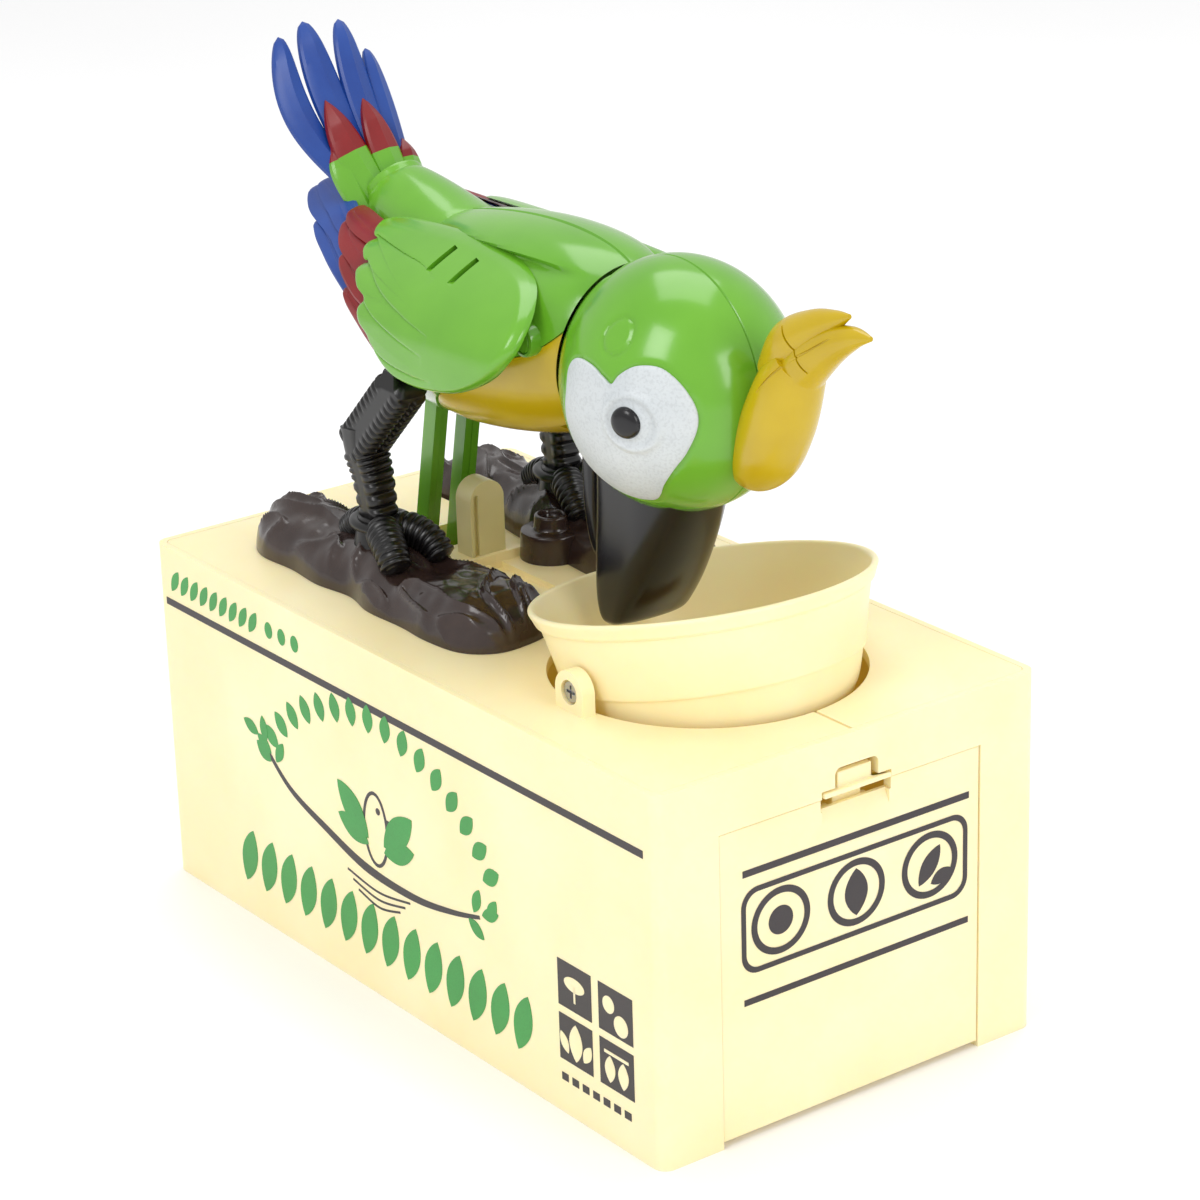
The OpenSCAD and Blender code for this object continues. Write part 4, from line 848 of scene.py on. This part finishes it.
def bumpy(x, y, amount):
    """Melted, streaky bark."""
    out = np.zeros_like(x)
    flat = out.ravel()
    for i, (a, b) in enumerate(zip(x.ravel(), y.ravel())):
        big = noise.noise(Vector((a * 0.055, b * 0.09, 3.1)))
        streak = 1 - abs(noise.noise(Vector((a * 0.07 + big, b * 0.16 + big, 7.7)))) * 2.4
        flat[i] = big * 1.9 + max(streak, 0) ** 3 * 1.7 + 0.4 * noise.noise(Vector((a * 0.3, b * 0.3, 1.3)))
    return out * amount


cover = np.clip(1 - steps[:, None] ** 3.2, 0, 1) ** 0.55
height = log_height(xy[..., 0], xy[..., 1]) * cover + bumpy(xy[..., 0], xy[..., 1], 1.0) * np.clip(cover * 1.6, 0, 1)
height[-1] = 0.0
log_top = np.concatenate([xy, (TOP + 0.05 + np.clip(height, 0, 14))[..., None]], -1)
points, faces = grid(log_top, loop_v=True)
both_sides("log_bark", points, [f[::-1] for f in faces], BROWN, "base", "brown_plastic", ["log_right", "log_left"])

STUMP = [-26.0, 13.6]                                # cut branch on the far log
profile = curve([[0.05, 8.2], [1.8, 8.1], [2.3, 8.6], [2.6, 9.6], [3.2, 9.8], [3.8, 9.5], [3.9, 8.2], [4.4, 6.6],
                 [6.4, 6.3], [7.0, 5.8], [7.1, 3], [7.3, 0]], 80)
ring = np.array([[[STUMP[0] + q * math.cos(a), STUMP[1] + q * math.sin(a), TOP + z] for a in turn[::3]]
                 for q, z in profile])
points, faces = grid(ring, loop_v=True)
mended(make("log_stump", points, faces, BROWN, "base", "brown_plastic"))

# ---------- printed motifs ----------
INK = 0.07                                           # how far the print stands off


def ellipse(c, a, b, turn_deg=0.0, count=40):
    k = np.linspace(0, 2 * math.pi, count, endpoint=False)
    t = math.radians(turn_deg)
    x, y = a * np.cos(k), b * np.sin(k)
    return np.stack([c[0] + x * math.cos(t) - y * math.sin(t), c[1] + x * math.sin(t) + y * math.cos(t)], -1)


def leaf(c, length, w, turn_deg):
    """Pointed leaf from c along a direction."""
    s = np.linspace(0, 1, 14)
    side = w * np.sin(math.pi * s) ** 0.8
    pts = np.r_[np.stack([s * length, side], -1), np.stack([s[::-1] * length, -side[::-1]], -1)[1:-1]]
    t = math.radians(turn_deg)
    return np.array(c) + pts @ np.array([[math.cos(t), math.sin(t)], [-math.sin(t), math.cos(t)]])


def bar(x0, y0, x1, y1):
    return np.array([[x0, y0], [x1, y0], [x1, y1], [x0, y1]], float)


def stroke(path, half):
    """Band along a path."""
    path = np.asarray(path, float)
    ahead = np.gradient(path, axis=0)
    ahead /= np.linalg.norm(ahead, axis=1)[:, None]
    n_ = np.stack([-ahead[:, 1], ahead[:, 0]], -1) * (half if np.isscalar(half) else np.asarray(half)[:, None])
    return np.r_[path + n_, (path - n_)[::-1]]


def printed(name, shapes, place, ink, body, rings=()):
    """Flat shapes put on a face as thin ink. place maps (u, v, out) to space; rings are closed bands."""
    points, faces = [], []
    for rank, shape in enumerate(shapes):            # each a hair above the one before, so none coincide
        base = len(points)
        points += [place(u, v, INK + 0.0015 * rank) for u, v in shape] + [place(u, v, -0.05) for u, v in shape]
        m = len(shape)
        faces.append(list(range(base, base + m)))
        faces += [[base + i, base + m + i, base + m + (i + 1) % m, base + (i + 1) % m] for i in range(m)]
    for out_line, in_line in rings:
        base, m = len(points), len(out_line)
        points += [place(u, v, INK) for u, v in out_line] + [place(u, v, INK) for u, v in in_line]
        faces += [[base + i, base + (i + 1) % m, base + m + (i + 1) % m, base + m + i] for i in range(m)]
    piece = make(name, points, faces, ink, None, smooth=False)
    bm = bmesh.new()
    bm.from_mesh(piece.data)
    bmesh.ops.triangulate(bm, faces=[f for f in bm.faces if len(f.verts) > 4])
    bmesh.ops.recalc_face_normals(bm, faces=bm.faces)
    bm.to_mesh(piece.data)
    bm.free()
    return settle(piece, body)


on_side = lambda u, v, out: (u, SIDE - out, v)
green_shapes, dark_shapes = [], []
dark_shapes.append(bar(-88.6, 67.2, 88.5, 68.9))
for i in range(9):                                   # small leaf row at the upper left corner
    green_shapes.append(leaf([-86 + 4.1 * i, 71.0], 6.4, 1.35, 58))
for i in range(3):
    green_shapes.append(ellipse([-45 + 5.2 * i, 73.8], 1.5, 1.9))
arc = np.linspace(math.radians(150), math.radians(31), 17)   # arch of leaves
for k in arc:
    c = [-6.5 + 47 * math.cos(k), 22 + 40 * math.sin(k)]
    green_shapes.append(leaf(c, 6.6, 1.9, math.degrees(k)))
for i in range(14):                                  # band of large leaves
    x = -61 + 8.1 * i
    green_shapes.append(leaf([x, 8.2], 14, 3.1, 74))
twig = curve([[-50, 45.5], [-40, 38], [-26, 33.4], [-10, 29.5], [8, 29], [22, 31], [32, 33.5]], 60)
dark_shapes.append(stroke(twig, np.interp(np.linspace(0, 1, 60), [0, 0.5, 1], [0.5, 1.1, 0.4])))
for x, z, turn_deg in ((-49, 46, 100), (-47, 44, 150), (-45, 42.6, 60), (-52, 47, 160), (30, 34, 70), (33, 34.4, 20),
                       (28, 32, -30), (35, 34, 60)):
    green_shapes.append(leaf([x, z], 6.2, 1.5, turn_deg))
bird_c = [-6, 40]
green_shapes += [leaf([bird_c[0] - 3, 37], 15, 3.4, 138), leaf([bird_c[0] + 3, 37], 15, 3.4, 42),
                 leaf([bird_c[0] - 3, 35.6], 12, 2.6, 162), leaf([bird_c[0] + 3, 35.6], 12, 2.6, 18)]
dark_shapes += [stroke(ellipse(bird_c, 4.4, 8.4), 0.4), ellipse([bird_c[0] + 1.2, 44.6], 0.8, 0.8),
                leaf([bird_c[0] + 4, 43.6], 4, 1.3, -40)]
for i in range(3):
    dark_shapes.append(stroke(curve([[-18 + 2 * i, 26.6 - 1.8 * i], [-6, 25.2 - 1.8 * i], [6 - 2 * i, 27 - 1.8 * i]], 20), 0.25))
for i, (x, z) in enumerate(((59, 24.6), (72.6, 24.6), (59, 12.4), (72.6, 12.4))):
    dark_shapes.append(bar(x, z, x + 11.2, z + 10.4))
light_shapes = [ellipse([64.6, 30.6], 3.4, 1.6), bar(64.3, 26.6, 64.9, 30.4), ellipse([76, 31], 1.9, 1.9),
                ellipse([80, 27.6], 2.3, 2.3), leaf([64.6, 13.4], 8.4, 2.2, 90), leaf([62, 14.4], 5, 1.3, 120),
                leaf([67.2, 14.4], 5, 1.3, 60), leaf([76, 13.6], 6, 1.7, 90), leaf([80.4, 13.6], 6, 1.7, 90),
                bar(74.2, 19.9, 82.2, 20.6)]
for i in range(7):
    dark_shapes.append(bar(59.4 + 3.5 * i, 7.6, 61.6 + 3.5 * i, 9.3))
printed("side_print_dark", dark_shapes, on_side, DARK_PRINT, "base")
printed("side_print_green", green_shapes, on_side, GREEN_PRINT, "base")
printed("side_print_light", light_shapes, lambda u, v, out: on_side(u, v, out * 2), CREAM, "base")

DOOR_FACE = box_mm("coin_door")[1][0]
on_door = lambda u, v, out: (DOOR_FACE + out, u, v)


def round_frame(y0, z0, y1, z1, r):
    pts = []
    for cx, cz, a0 in ((y1 - r, z1 - r, 0), (y0 + r, z1 - r, 90), (y0 + r, z0 + r, 180), (y1 - r, z0 + r, 270)):
        pts += [[cx + r * math.cos(math.radians(a0 + k)), cz + r * math.sin(math.radians(a0 + k))] for k in range(0, 91, 10)]
    return pts


door_dark = [bar(-28, 57.8, 31, 59.3), bar(-28, 29.8, 31, 31.2)]
coins = [(ellipse([c, 46], 7.5, 7.3, count=60), ellipse([c, 46], 6.0, 5.8, count=60)) for c in (-18.5, 1, 20.5)]
door_dark += [ellipse([-18.5, 46], 3.1, 3.1), leaf([1, 40.8], 10.4, 3.0, 90),
              leaf([17.6, 42], 9.6, 2.1, 54), leaf([20.8, 41.6], 6, 1.6, 20)]
printed("door_print", door_dark, on_door, DARK_PRINT, "door",
        rings=[(round_frame(-28.5, 36.4, 30.7, 55.2, 4.2), round_frame(-27.3, 37.6, 29.5, 54.0, 3.2))] + coins)
